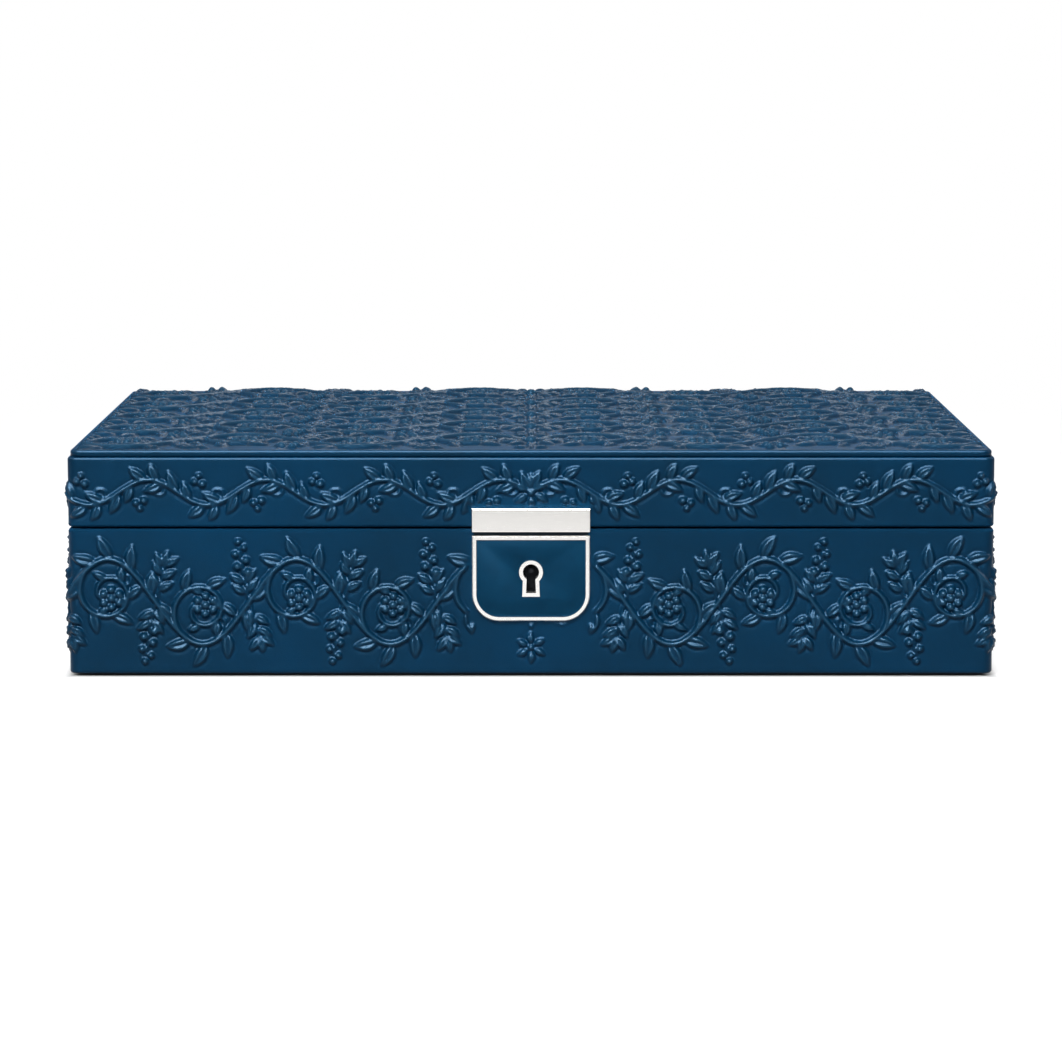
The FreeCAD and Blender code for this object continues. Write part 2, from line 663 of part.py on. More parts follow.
link_z = ("lid_rim", "lid_rim + link_thickness")
link_blank = block("link_blank", case_x, ("lock_case_front", "-(room_y)"), link_z)
link_seat = block("link_seat", case_x, ("lock_case_front", "-(room_y)"), link_z)
hook_body = elevation("hook_body", bolt_back)
hook_front = [
    ("-(hook_stem / 2)", "hook_low"), ("hook_tip", "hook_low"), ("hook_tip", "hook_foot_top"),
    ("hook_stem / 2", "hook_foot_top"), ("hook_stem / 2", link_z[1]), ("-(hook_stem / 2)", link_z[1]),
]
pad(hook_body, outline(hook_body, "hook_front", hook_front), "hook_thickness")
piece(fuse("link_plate", cut("drilled_link", link_blank, link_holes), hook_body), "link_plate")


# Hinges: two butt hinges let into the rims, five knuckles on one pin each

def hinge_leaf(half, side):
    """A leaf with every second knuckle, the outer ones on the base."""
    middle = SIDES[side]
    level = LEAF_LEVELS[half]
    name = f"hinge_{half}_leaf_{side}"
    start = f"{middle} - hinge_length / 2"
    plate_x = (start, f"{middle} + hinge_length / 2")
    solids = [block(name + "_plate", plate_x, ("leaf_low_y", "leaf_high_y"), level)]
    for number in range(0 if half == "base" else 1, round(value("knuckle_count")), 2):
        low = f"{start} + {number} * knuckle_pitch + knuckle_gap / 2"
        high = f"{start} + {number + 1} * knuckle_pitch - knuckle_gap / 2"
        length = "knuckle_pitch - knuckle_gap"
        barrel = rod(f"{name}_knuckle_{number}", (low, "hinge_y", "hinge_z"), "right",
                     "knuckle_radius", length)
        web = block(f"{name}_web_{number}", (low, high), ("leaf_high_y", "hinge_y"), level)
        solids += [barrel, web]
    bore = rod(name + "_bore", (start, "hinge_y", "hinge_z"), "right",
               "pin_radius + pin_clearance", "hinge_length")
    holes = base_hinge_holes if half == "base" else lid_hinge_holes
    return cut(name, fuse(name + "_solid", *solids), bore, holes)


for side, middle in SIDES.items():
    for half in LEAF_LEVELS:
        piece(hinge_leaf(half, side), f"hinge_{half}_leaf_{side}")
    pin_spot = (f"{middle} - hinge_length / 2", "hinge_y", "hinge_z")
    piece(rod("hinge_pin_" + side, pin_spot, "right", "pin_radius", "hinge_length"), "hinge_pin_" + side)


# Boards: each half's envelope sawn into four walls, butted at the corners

ANY_X = ("-(half_width)", "half_width")
IN_Y = ("-(room_y)", "room_y")
BASE_Z = ("0", "base_height")
LID_Z = ("lid_rim", "lid_top")
WALLS = {
    "front": (ANY_X, ("-(half_depth)", "-(room_y)")),
    "back": (ANY_X, ("room_y", "half_depth")),
    "left": (("-(half_width)", "-(room_x)"), IN_Y),
    "right": (("room_x", "half_width"), IN_Y),
}


def wall_board(half, wall):
    boards, z = (base_boards, BASE_Z) if half == "base" else (lid_boards, LID_Z)
    x, y = WALLS[wall]
    name = f"{half}_{wall}_board"
    return common(name + "_blank", boards, block(name + "_saw", x, y, z))


FITTINGS = {
    ("base", "front"): [mortise, ear_seat, key_way, plate_pin_holes, lock_holes],
    ("base", "back"): leaf_seats["base"] + barrel_seats + [base_hinge_holes],
    ("lid", "front"): [link_seat, rivet_holes, link_holes],
    ("lid", "back"): leaf_seats["lid"] + barrel_seats + [lid_hinge_holes],
}
for half in ("base", "lid"):
    for wall in WALLS:
        name = f"{half}_{wall}_board"
        board = wall_board(half, wall)
        piece(cut(name, board, *FITTINGS.get((half, wall), [])), name)
ROOM_X = ("-(room_x)", "room_x")
piece(block("base_floor_board", ROOM_X, IN_Y, ("base_board_low", "floor_top")), "base_floor_board")
piece(block("lid_top_board", ROOM_X, IN_Y, ("ceiling", "lid_board_high")), "lid_top_board")


# Leather wraps: a skin around the boards, turned over the rims and in under the base and lid panel

def leather_wrap(name, outer, boards, rim, turned, fittings):
    room = block(name + "_room", ROOM_X, IN_Y, rim)
    turn_x = "half_width - turn_in"
    turn_y = "half_depth - turn_in"
    opening = block(name + "_opening", (f"-({turn_x})", turn_x), (f"-({turn_y})", turn_y), turned)
    return piece(cut(name, outer, boards, room, opening, *fittings), name)


base_fittings = [selvedge_seat, key_way, plate_pin_holes] + leaf_seats["base"] + barrel_seats
leather_wrap("base_leather_wrap", base_outer, base_boards, ("base_board_high", "base_height"),
             ("0", "base_board_low"), base_fittings)
lid_fittings = [link_seat, rivet_holes] + leaf_seats["lid"] + barrel_seats
leather_wrap("lid_leather_wrap", lid_outer, lid_boards, ("lid_rim", "lid_board_low"),
             ("lid_board_high", "lid_top"), lid_fittings)

piece(slab("base_bottom_cover", "half_width - cover_inset", "half_depth - cover_inset", "0",
           "cover_thickness", "corner_radius"), "base_bottom_cover")


# Padded top panel of the lid: card, wadding and a leather cap drawn down over their edges

card_x = "panel_x - panel_leather"
card_y = "panel_y - panel_leather"
CARD_CORNER = "max(corner_radius - panel_leather; 0.2)"
piece(slab("lid_panel_card", card_x, card_y, "lid_top", "panel_card", CARD_CORNER), "lid_panel_card")
piece(slab("lid_panel_padding", card_x, card_y, "card_top", "panel_padding", CARD_CORNER),
      "lid_panel_padding")
cap_height = "panel_card + panel_padding + panel_leather"
cap_outer = slab("cap_outer", "panel_x", "panel_y", "lid_top", cap_height, "corner_radius", "panel_ease")
cap_inner = slab("cap_inner", card_x, card_y, "lid_top", "panel_card + panel_padding", CARD_CORNER)
piece(cut("lid_panel_leather", cap_outer, cap_inner), "lid_panel_leather")


# Linings of both halves, and the mirror in its frame under the lid

LINED_Y = ("-(lined_y)", "lined_y")
LININGS = {
    "front": (ROOM_X, ("-(room_y)", "-(lined_y)")),
    "back": (ROOM_X, ("lined_y", "room_y")),
    "left": (("-(room_x)", "-(lined_x)"), LINED_Y),
    "right": (("lined_x", "room_x"), LINED_Y),
}
for wall, (x, y) in LININGS.items():
    base_z = ("lining_floor_top", "base_height - lining_drop")
    piece(block("base_lining_" + wall, x, y, base_z), "base_lining_" + wall)
    piece(block("lid_lining_" + wall, x, y, ("lid_rim + lining_drop", "ceiling")), "lid_lining_" + wall)
piece(block("base_lining_floor", ROOM_X, IN_Y, ("floor_top", "lining_floor_top")), "base_lining_floor")

LINED_X = ("-(lined_x)", "lined_x")
glass_x = ("-(mirror_width / 2)", "mirror_width / 2")
glass_y = ("-(mirror_depth / 2)", "mirror_depth / 2")
window_x = ("-(mirror_width / 2 - mirror_lip)", "mirror_width / 2 - mirror_lip")
window_y = ("-(mirror_depth / 2 - mirror_lip)", "mirror_depth / 2 - mirror_lip")
frame_z = ("mirror_low - mirror_lip_height", "ceiling")
frame_blank = block("mirror_frame_blank", LINED_X, LINED_Y, frame_z)
glass_seat = block("glass_seat", glass_x, glass_y, ("mirror_low", "ceiling"))
window = block("mirror_window", window_x, window_y, frame_z)
piece(cut("lid_mirror_frame", frame_blank, glass_seat, window), "lid_mirror_frame")
piece(block("lid_mirror", glass_x, glass_y, ("mirror_low", "ceiling")), "lid_mirror")


# Dividers under the tray, which carry it

lower = []
for side, sign in (("left", "-1"), ("right", "1")):
    middle = f"{sign} * lower_spacing / 2"
    x = (f"{middle} - divider_thickness / 2", f"{middle} + divider_thickness / 2")
    z = ("lining_floor_top", "lining_floor_top + lower_depth")
    piece(block("lower_divider_" + side, x, LINED_Y, z), "lower_divider_" + side)


# Lift-out tray: floor, four walls, dividers, ring rolls in the middle column, a pull tab at each end

TRAY_X = ("-(tray_x)", "tray_x")
TRAY_IN_Y = ("-(tray_in_y)", "tray_in_y")
wall_z = ("tray_floor_top", "tray_top")
piece(block("tray_floor", TRAY_X, ("-(tray_y)", "tray_y"), ("tray_low", "tray_floor_top")), "tray_floor")
piece(block("tray_front_wall", TRAY_X, ("-(tray_y)", "-(tray_in_y)"), wall_z), "tray_front_wall")
piece(block("tray_back_wall", TRAY_X, ("tray_in_y", "tray_y"), wall_z), "tray_back_wall")
piece(block("tray_left_wall", ("-(tray_x)", "-(tray_in_x)"), TRAY_IN_Y, wall_z), "tray_left_wall")
piece(block("tray_right_wall", ("tray_in_x", "tray_x"), TRAY_IN_Y, wall_z), "tray_right_wall")

divider_z = ("tray_floor_top", "divider_top")
dividers = []
for side, low, high in (("left", "-(column_out)", "-(column_in)"), ("right", "column_in", "column_out")):
    dividers.append(block("long_divider_" + side, (low, high), TRAY_IN_Y, divider_z))
for side, x in (("left", ("-(tray_in_x)", "-(column_out)")), ("right", ("column_out", "tray_in_x"))):
    for end, sign in (("front", "-1"), ("back", "1")):
        middle = f"{sign} * tray_in_y / 3"
        y = (f"{middle} - divider_thickness / 2", f"{middle} + divider_thickness / 2")
        dividers.append(block(f"cross_divider_{side}_{end}", x, y, divider_z))
piece(group("tray_dividers", dividers), "tray_dividers")


def ring_roll(number):
    """A padded roll: flat underside, upright flanks, a half-round crown and drawn-in ends."""
    name = f"ring_roll_{number}"
    middle = f"ring_pitch * {number - 0.5} - column_in"
    half = "ring_width / 2"
    flank = f"ring_height - {half}"
    body = doc.addObject("PartDesign::Body", name)
    bind(body, "Placement.Base.x", middle)
    bind(body, "Placement.Base.z", "tray_floor_top")
    sketch = new_sketch(body, name + "_section", "XZ_Plane", "0")
    radius, height = value(half), value(flank)
    sketch.addGeometry(Part.LineSegment(Vector(-radius, 0, 0), Vector(radius, 0, 0)))
    sketch.addGeometry(Part.LineSegment(Vector(radius, 0, 0), Vector(radius, height, 0)))
    crown = Part.Circle(Vector(0, height, 0), Vector(0, 0, 1), radius)
    sketch.addGeometry(Part.ArcOfCircle(crown, 0, 3.14159265))
    sketch.addGeometry(Part.LineSegment(Vector(-radius, height, 0), Vector(-radius, 0, 0)))
    for line in range(4):
        sketch.addConstraint(Sketcher.Constraint("Coincident", line, 2, (line + 1) % 4, 1))
    pin_point(sketch, 0, 1, f"-({half})", "0")
    pin_point(sketch, 1, 1, half, "0")
    pin_point(sketch, 1, 2, half, flank)
    pin_point(sketch, 3, 1, f"-({half})", flank)
    index = sketch.addConstraint(Sketcher.Constraint("DistanceY", -1, 1, 2, 3, height))
    bind(sketch, f"Constraints[{index}]", flank)
    feature = pad(body, sketch, "2 * (tray_in_y - ring_gap)", both_sides=True)
    end = value("tray_in_y - ring_gap")

    def at_an_end(middle, along):
        return abs(abs(middle.y) - end) < 1e-6 and middle.z > 1e-6

    eased(body, feature, "ring_draw", at_an_end)
    return body


rolls = [ring_roll(number) for number in range(1, round(value("ring_count")) + 1)]
piece(group("ring_rolls", rolls), "ring_rolls")


def pull_tab(side, x):
    body = doc.addObject("PartDesign::Body", "pull_tab_" + side)
    bind(body, "Placement.Base.x", x)
    corners = rectangle(("-(tab_width / 2)", "tab_width / 2"), ("tray_top - tab_below", "tray_top + tab_above"))
    feature = pad(body, outline(body, f"pull_tab_{side}_side", corners, "YZ_Plane"), "tab_thickness")
    top = value("tray_top + tab_above")
    rounded(body, feature, "tab_round",
            lambda middle, along: abs(middle.z - top) < 1e-6 and abs(along.x) > 0.99 * along.Length)
    return body


tabs = [pull_tab("left", "-(tray_in_x)"), pull_tab("right", "tray_in_x - tab_thickness")]
piece(group("tray_pull_tabs", tabs), "tray_pull_tabs")


# Check every object, then write each sub-part

doc.recompute()
for thing in doc.Objects:
    if "Invalid" in thing.State or "Error" in thing.State:
        raise RuntimeError(f"{thing.Label} failed: {thing.State}")
for node in nodes:
    if node.Shape.isNull() or not node.Shape.isValid() or not node.Shape.Solids:
        raise RuntimeError(f"{node.Label} has no valid solid")
os.makedirs("parts", exist_ok=True)
for node in nodes:
    node.Shape.exportStep(f"parts/{node.Label}.step")
print(len(nodes), "sub-parts written")
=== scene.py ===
import math

import bmesh
import bpy
import numpy as np
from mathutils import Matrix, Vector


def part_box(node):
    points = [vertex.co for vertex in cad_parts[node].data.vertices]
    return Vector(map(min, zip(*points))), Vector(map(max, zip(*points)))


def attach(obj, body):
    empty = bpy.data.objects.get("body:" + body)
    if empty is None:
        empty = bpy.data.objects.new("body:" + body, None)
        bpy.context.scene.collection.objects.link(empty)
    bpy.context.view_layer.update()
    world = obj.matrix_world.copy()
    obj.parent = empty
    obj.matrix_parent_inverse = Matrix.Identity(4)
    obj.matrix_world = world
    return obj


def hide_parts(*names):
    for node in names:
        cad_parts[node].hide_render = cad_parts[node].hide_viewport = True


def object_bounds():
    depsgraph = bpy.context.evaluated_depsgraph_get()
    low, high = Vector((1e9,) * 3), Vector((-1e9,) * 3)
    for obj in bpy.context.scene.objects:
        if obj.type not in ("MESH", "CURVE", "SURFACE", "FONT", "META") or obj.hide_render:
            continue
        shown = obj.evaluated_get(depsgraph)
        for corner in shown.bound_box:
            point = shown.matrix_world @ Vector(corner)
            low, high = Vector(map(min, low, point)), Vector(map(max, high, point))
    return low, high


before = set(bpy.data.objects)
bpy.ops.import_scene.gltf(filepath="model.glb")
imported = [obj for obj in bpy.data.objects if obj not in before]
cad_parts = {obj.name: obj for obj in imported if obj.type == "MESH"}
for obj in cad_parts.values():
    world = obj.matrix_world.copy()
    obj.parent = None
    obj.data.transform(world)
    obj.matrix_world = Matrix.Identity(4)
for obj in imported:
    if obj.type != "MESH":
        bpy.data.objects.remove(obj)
cad_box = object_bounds()


# Camera and studio
# A long lens a little above the case, as a shop photograph is taken, over a white table in a light tent.
# A soft box hangs over the lens with a reflector round it that puts the shine on the crests, weaker ones
# stand at both ends and behind, and a dark blue flag low at the back keeps the lid from washing out.

MM = 0.001
PHOTO_WIDTH = 1062
FOCAL_PIXELS = 4115.8
CAMERA_DISTANCE = 1333.4 * MM
CAMERA_HEIGHT = 197.9 * MM
CAMERA_TILT = math.radians(7.10)
SENSOR = 36.0
CASE_MIDDLE = (0, 0, 0.04)
SMOOTH = {"interpolation_type": "SMOOTHSTEP"}


def linear(hex_colour):
    """An sRGB hex colour as the linear values that shaders take."""
    channels = [int(hex_colour[i:i + 2], 16) / 255 for i in (1, 3, 5)]
    return [c / 12.92 if c <= 0.04045 else ((c + 0.055) / 1.055) ** 2.4 for c in channels] + [1.0]


def add(tree, kind, settings=None, inputs=None):
    """Add a node, set its properties, and fill its sockets with values or links. A bare word for the
    settings is the node's operation, and a node among the inputs stands for its first output."""
    made = tree.nodes.new(kind)
    if isinstance(settings, str):
        settings = {"operation": settings}
    for name, setting in (settings or {}).items():
        setattr(made, name, setting)
    for key, given in (inputs or {}).items():
        socket = made.inputs[key]
        if isinstance(given, bpy.types.Node):
            given = given.outputs[0]
        if isinstance(given, bpy.types.NodeSocket):
            tree.links.new(given, socket)
        else:
            socket.default_value = given
    return made


lens = bpy.data.cameras.new("photo_lens")
lens.sensor_fit = "HORIZONTAL"
lens.sensor_width = SENSOR
lens.lens = SENSOR * FOCAL_PIXELS / PHOTO_WIDTH
camera = bpy.data.objects.new("photo_camera", lens)
camera.location = (0, -CAMERA_DISTANCE, CAMERA_HEIGHT)
camera.rotation_euler = (math.pi / 2 - CAMERA_TILT, 0, 0)
bpy.context.collection.objects.link(camera)
bpy.context.scene.camera = camera
bpy.context.scene.view_settings.view_transform = "Standard"


def soft_box(name, place, size, watts):
    """A rectangular lamp, in metres and watts, turned towards the middle of the case."""
    lamp = bpy.data.lights.new(name, "AREA")
    lamp.shape = "RECTANGLE"
    lamp.size, lamp.size_y = size
    lamp.energy = watts
    box = bpy.data.objects.new(name, lamp)
    box.location = place
    towards = np.array(CASE_MIDDLE) - np.array(place)
    box.rotation_euler = (math.atan2(math.hypot(towards[0], towards[1]), -towards[2]), 0,
                          math.atan2(-towards[0], towards[1]))
    bpy.context.collection.objects.link(box)


KEY_PLACE = (-0.16, -0.80, 0.74)
BACK_PLACE = (0.10, 0.95, 0.75)
END_AWAY, END_BACK, END_HEIGHT = 0.95, 0.05, 0.50
soft_box("key_soft_box", KEY_PLACE, size=(0.60, 0.30), watts=11.0)
soft_box("back_soft_box", BACK_PLACE, size=(0.70, 0.20), watts=1.7)
for side in (-1, 1):
    soft_box("end_soft_box", (side * END_AWAY, END_BACK, END_HEIGHT), size=(0.45, 0.35), watts=2.0)

world = bpy.data.worlds.new("light_tent")
bpy.context.scene.world = world
world.use_nodes = True
tent = world.node_tree
tent.nodes.clear()
TENT_FILL = 0.17
TENT_FOOT = 0.35
FLAG_SHADE = 0.36
FLAG_BLUE = "#6FA8E8"
REFLECTOR_GLOW = 30.0
# Where these begin and end, as the share of a direction that points up, back or at the key.
TENT_HEIGHT = (0.2, 1.0)
FLAG_BACK = (0.1, 0.6)
FLAG_HEIGHT = (0.85, 0.2)
REFLECTOR_EDGE = (0.84, 0.95)
rays = add(tent, "ShaderNodeLightPath")
seen = add(tent, "ShaderNodeMath", "MAXIMUM",
           {0: rays.outputs["Is Camera Ray"], 1: rays.outputs["Is Transmission Ray"]})
outlook = add(tent, "ShaderNodeTexCoord").outputs["Generated"]
facing = add(tent, "ShaderNodeSeparateXYZ", None, {0: outlook})
mirrored_tent = add(tent, "ShaderNodeMapRange", None,
                    {"Value": facing.outputs["Z"], "From Min": TENT_HEIGHT[0], "From Max": TENT_HEIGHT[1],
                     "To Min": TENT_FOOT, "To Max": 1.0})
behind = add(tent, "ShaderNodeMapRange", SMOOTH,
             {"Value": facing.outputs["Y"], "From Min": FLAG_BACK[0], "From Max": FLAG_BACK[1]})
low_down = add(tent, "ShaderNodeMapRange", SMOOTH,
               {"Value": facing.outputs["Z"], "From Min": FLAG_HEIGHT[0], "From Max": FLAG_HEIGHT[1]})
flag = add(tent, "ShaderNodeMath", "MULTIPLY", {0: behind, 1: low_down})
flagged = add(tent, "ShaderNodeMix", {"data_type": "FLOAT"}, {0: flag, 2: mirrored_tent, 3: FLAG_SHADE})
key_direction = np.array(KEY_PLACE) / np.linalg.norm(KEY_PLACE)
near_key = add(tent, "ShaderNodeVectorMath", "DOT_PRODUCT", {0: outlook, 1: key_direction})
# The reflector shows in a first reflection only, so that it does not blaze in metal beside the mirror.
first_bounce = add(tent, "ShaderNodeMath", "LESS_THAN", {0: rays.outputs["Glossy Depth"], 1: 1.5})
reflector_glow = add(tent, "ShaderNodeMath", "MULTIPLY", {0: first_bounce, 1: REFLECTOR_GLOW})
reflector = add(tent, "ShaderNodeMapRange", SMOOTH,
                {"Value": near_key.outputs["Value"], "From Min": REFLECTOR_EDGE[0],
                 "From Max": REFLECTOR_EDGE[1], "To Max": reflector_glow})
mirrored = add(tent, "ShaderNodeMath", "ADD", {0: flagged, 1: reflector})
glossy = add(tent, "ShaderNodeMix", {"data_type": "FLOAT"},
             {0: rays.outputs["Is Glossy Ray"], 2: TENT_FILL, 3: mirrored})
shown = add(tent, "ShaderNodeMix", {"data_type": "FLOAT"}, {0: seen, 2: glossy, 3: 1.0})
flag_seen = add(tent, "ShaderNodeMath", "MULTIPLY", {0: flag, 1: rays.outputs["Is Glossy Ray"]})
cloth_colour = add(tent, "ShaderNodeMix", {"data_type": "RGBA"},
                   {0: flag_seen, 6: linear("#FFFFFF"), 7: linear(FLAG_BLUE)})
sky = add(tent, "ShaderNodeBackground", None, {"Color": cloth_colour.outputs[2], "Strength": shown})
add(tent, "ShaderNodeOutputWorld", None, {"Surface": sky})


def new_material(name):
    """An empty material, its node tree, and the place on the object that its textures start from."""
    material = bpy.data.materials.new(name)
    material.use_nodes = True
    tree = material.node_tree
    tree.nodes.clear()
    return material, tree, add(tree, "ShaderNodeTexCoord").outputs["Object"]


def out_of_box(tree, place, middle, half):
    """How far a place lies outside an upright box. It is below nothing inside the box."""
    from_middle = add(tree, "ShaderNodeVectorMath", "SUBTRACT", {0: place, 1: middle})
    either_side = add(tree, "ShaderNodeVectorMath", "ABSOLUTE", {0: from_middle})
    past = add(tree, "ShaderNodeVectorMath", "SUBTRACT", {0: either_side, 1: half})
    sides = add(tree, "ShaderNodeSeparateXYZ", None, {0: past})
    level = add(tree, "ShaderNodeMath", "MAXIMUM", {0: sides.outputs["X"], 1: sides.outputs["Y"]})
    return add(tree, "ShaderNodeMath", "MAXIMUM", {0: level, 1: sides.outputs["Z"]})


def mesh_piece(name, vertices, faces, material=None):
    """A new object with a mesh of its own."""
    mesh = bpy.data.meshes.new(name)
    mesh.from_pydata([tuple(v) for v in vertices], [], [tuple(f) for f in faces])
    mesh.update()
    made = bpy.data.objects.new(name, mesh)
    bpy.context.collection.objects.link(made)
    if material:
        mesh.materials.append(material)
    return made


TABLE_HALF = 0.95
TABLE_CLEAR = 0.35
TABLE_GONE = 0.88 * TABLE_HALF
TABLE_GLOW = 0.86
# The table's glow stops at the case's foot, from under its edge to just outside it: a painted contact
# shadow round the case.
GLOW_EDGE = (-3 * MM, 4 * MM)
table_white, tree, spot = new_material("white_table_top")
surface = add(tree, "ShaderNodeBsdfPrincipled", None,
              {"Base Color": linear("#9A9A9A"), "Roughness": 0.9, "Specular IOR Level": 0.1})
apart = out_of_box(tree, spot, (0, 0, 0), cad_box[1])
open_glow = add(tree, "ShaderNodeMapRange", SMOOTH,
                {"Value": apart, "From Min": GLOW_EDGE[0], "From Max": GLOW_EDGE[1],
                 "To Max": TABLE_GLOW})
glow = add(tree, "ShaderNodeEmission", None, {"Color": linear("#FFFFFF"), "Strength": open_glow})
both = add(tree, "ShaderNodeAddShader", None, {0: surface, 1: glow})
rays = add(tree, "ShaderNodeLightPath")
seen = add(tree, "ShaderNodeMath", "MAXIMUM",
           {0: rays.outputs["Is Camera Ray"], 1: rays.outputs["Is Glossy Ray"]})
lit = add(tree, "ShaderNodeMixShader", None, {0: seen, 1: surface, 2: both})
away = add(tree, "ShaderNodeVectorMath", "LENGTH", {0: spot})
fade = add(tree, "ShaderNodeMapRange", SMOOTH,
           {"Value": away.outputs["Value"], "From Min": TABLE_CLEAR, "From Max": TABLE_GONE})
from_below = add(tree, "ShaderNodeNewGeometry").outputs["Backfacing"]
gone = add(tree, "ShaderNodeMath", "MAXIMUM", {0: fade, 1: from_below})
clear = add(tree, "ShaderNodeBsdfTransparent")
top = add(tree, "ShaderNodeMixShader", None, {0: gone, 1: lit, 2: clear})
add(tree, "ShaderNodeOutputMaterial", None, {"Surface": top})
table_corners = [(x * TABLE_HALF, y * TABLE_HALF, 0) for x, y in ((-1, -1), (1, -1), (1, 1), (-1, 1))]
table = mesh_piece("table_top", table_corners, [(0, 1, 2, 3)], table_white)


# Embossing dies
# The leather was pressed over engraved plates. Each plate carries a running vine scroll: round stems
# that curl into spirals, pointed leaves with a sunk midrib, and berries. All lengths are in mm.

WAVE_POINTS = 25
SPIRAL_POINTS = 60
SPIRAL_INWARD = 0.80
SPIRAL_EASE = 0.8
SPIRAL_TAPER = 0.35
SHORT_STEM_POINTS = 11
LEAF_ASPECT = 0.46
ROSETTE_BERRY = 0.24
ROSETTE_START = 0.2


def wave_stem(start, spacing, middle, swing, radius, sign):
    """One half wave of the main stem, over (+1) or under (-1) the middle line."""
    along = np.linspace(start, start + spacing, WAVE_POINTS)
    across = middle + sign * swing * np.sin(math.pi * (along - start) / spacing)
    return [(u, v, radius) for u, v in zip(along, across)]


def short_stem(foot, lean, rise, bend, reach, sign, radius):
    """A short stem up (+1) or down (-1) from a foot, leaning sideways and bending more as it goes."""
    return [(foot[0] + lean * k, foot[1] + sign * (rise * k + bend * k * k), radius)
            for k in np.linspace(0, reach, SHORT_STEM_POINTS)]


def spiral_branch(leave, heading, turn_radius, turns, side, radius):
    """A branch that leaves the stem along its heading and curls inwards on one side."""
    normal = np.array([-math.sin(heading), math.cos(heading)]) * -side
    centre = np.array(leave) + turn_radius * normal
    phase = math.atan2(*(np.array(leave) - centre)[::-1])
    points = []
    for share in np.linspace(0, 1, SPIRAL_POINTS):
        reach = turn_radius * (1 - SPIRAL_INWARD * share ** SPIRAL_EASE)
        angle = phase - side * 2 * math.pi * turns * share
        thick = radius * (1 - SPIRAL_TAPER * share)
        points.append((centre[0] + reach * math.cos(angle), centre[1] + reach * math.sin(angle), thick))
    return points


def place_on(points, share):
    """The place some share of the way along a stem, and the way that the stem runs there."""
    index = min(int(share * (len(points) - 1)), len(points) - 2)
    here, ahead = points[index], points[index + 1]
    return here[:2], math.atan2(ahead[1] - here[1], ahead[0] - here[0])


def leaf_on(points, share, side, lean, length, width):
    """A leaf set on a stem, leaning out to one side: place, heading, length and width."""
    place, heading = place_on(points, share)
    return (*place, heading + side * lean, length, width)


class Plate:
    """What one engraved plate carries: stems, leaves and berries in its own flat coordinates."""

    def __init__(self):
        self.stems = []
        self.leaves = []
        self.berries = []

    def mirrored(self):
        """Add the same design turned over at the middle, for the left half."""
        self.stems += [[(-u, v, r) for u, v, r in stem] for stem in self.stems]
        self.leaves += [(-u, v, math.pi - a, length, width) for u, v, a, length, width in self.leaves]
        self.berries += [(-u, v, r) for u, v, r in self.berries]

    def add_row(self, row, rise, scale):
        """Add another plate's design, larger or smaller, at some height."""
        for stem in row.stems:
            self.stems.append([(u * scale, rise + v * scale, r * scale) for u, v, r in stem])
        for u, v, heading, length, width in row.leaves:
            self.leaves.append((u * scale, rise + v * scale, heading, length * scale, width * scale))
        for u, v, r in row.berries:
            self.berries.append((u * scale, rise + v * scale, r * scale))

    def add_rosette(self, u, v, leaves, length):
        """Add a whorl of leaves round one berry."""
        self.berries.append((u, v, length * ROSETTE_BERRY))
        start = length * ROSETTE_START
        for number in range(leaves):
            angle = math.pi / 2 + 2 * math.pi * number / leaves
            self.leaves.append((u + start * math.cos(angle), v + start * math.sin(angle), angle,
                                length, length * LEAF_ASPECT))


FINE_STEM = 0.55
BRANCH_AT, BRANCH_TURNS = 0.78, 1.45
# Leaves on the branch: share of the way, side, length. Leaves on the wave: share, lean, length.
BRANCH_LEAVES = ((0.06, 1, 7.5), (0.17, 1, 7.5), (0.28, 1, 7.0), (0.39, 1, 6.5),
                 (0.50, 1, 5.5), (0.22, -1, 4.6), (0.36, -1, 4.4), (0.62, 1, 4.6))
BRANCH_LEAN = 0.75
WAVE_LEAVES = ((0.08, 0.7, 8.0), (0.26, 0.85, 8.5), (0.46, 0.95, 8.5), (0.64, 0.8, 8.0))
WAVE_LEAF_WIDTH = 3.8
BUNCH_COUNT, BUNCH_RING, BUNCH_TURN = 6, 2.6, 0.5
BUNCH_MIDDLE, BERRY = 1.45, 1.35
TENDRIL_AT, TENDRIL_LEAN, TENDRIL_RADIUS, TENDRIL_TURNS = 0.30, 0.5, 3.4, 1.25
# Leaves on the sprig and the spur: share of the way, side. All on one stem have the same lean and size.
SPRIG_LEAVES = ((0.22, 1), (0.22, -1), (0.42, 1), (0.42, -1))
SPUR_LEAVES = ((0.35, 1), (0.45, -1), (0.62, 1), (0.72, -1), (0.90, 1), (0.92, -1))
SPRIG_LEAN, SPRIG_LEAF = 0.85, (5.6, 2.6)
SPUR_LEAN, SPUR_LEAF = 0.8, (5.4, 2.6)
SPRIG_BERRIES, SPRIG_BARE, SPRIG_ASIDE, SPRIG_SHRINK = 5, 6, 1.45, 0.07
TIP_ASIDE, TIP_AHEAD, TIP_BERRY = 0.3, 1.7, 1.1
MIDDLE_STAR, SIDE_STAR, SIDE_STAR_AWAY = 7.0, 4.2, 14.0


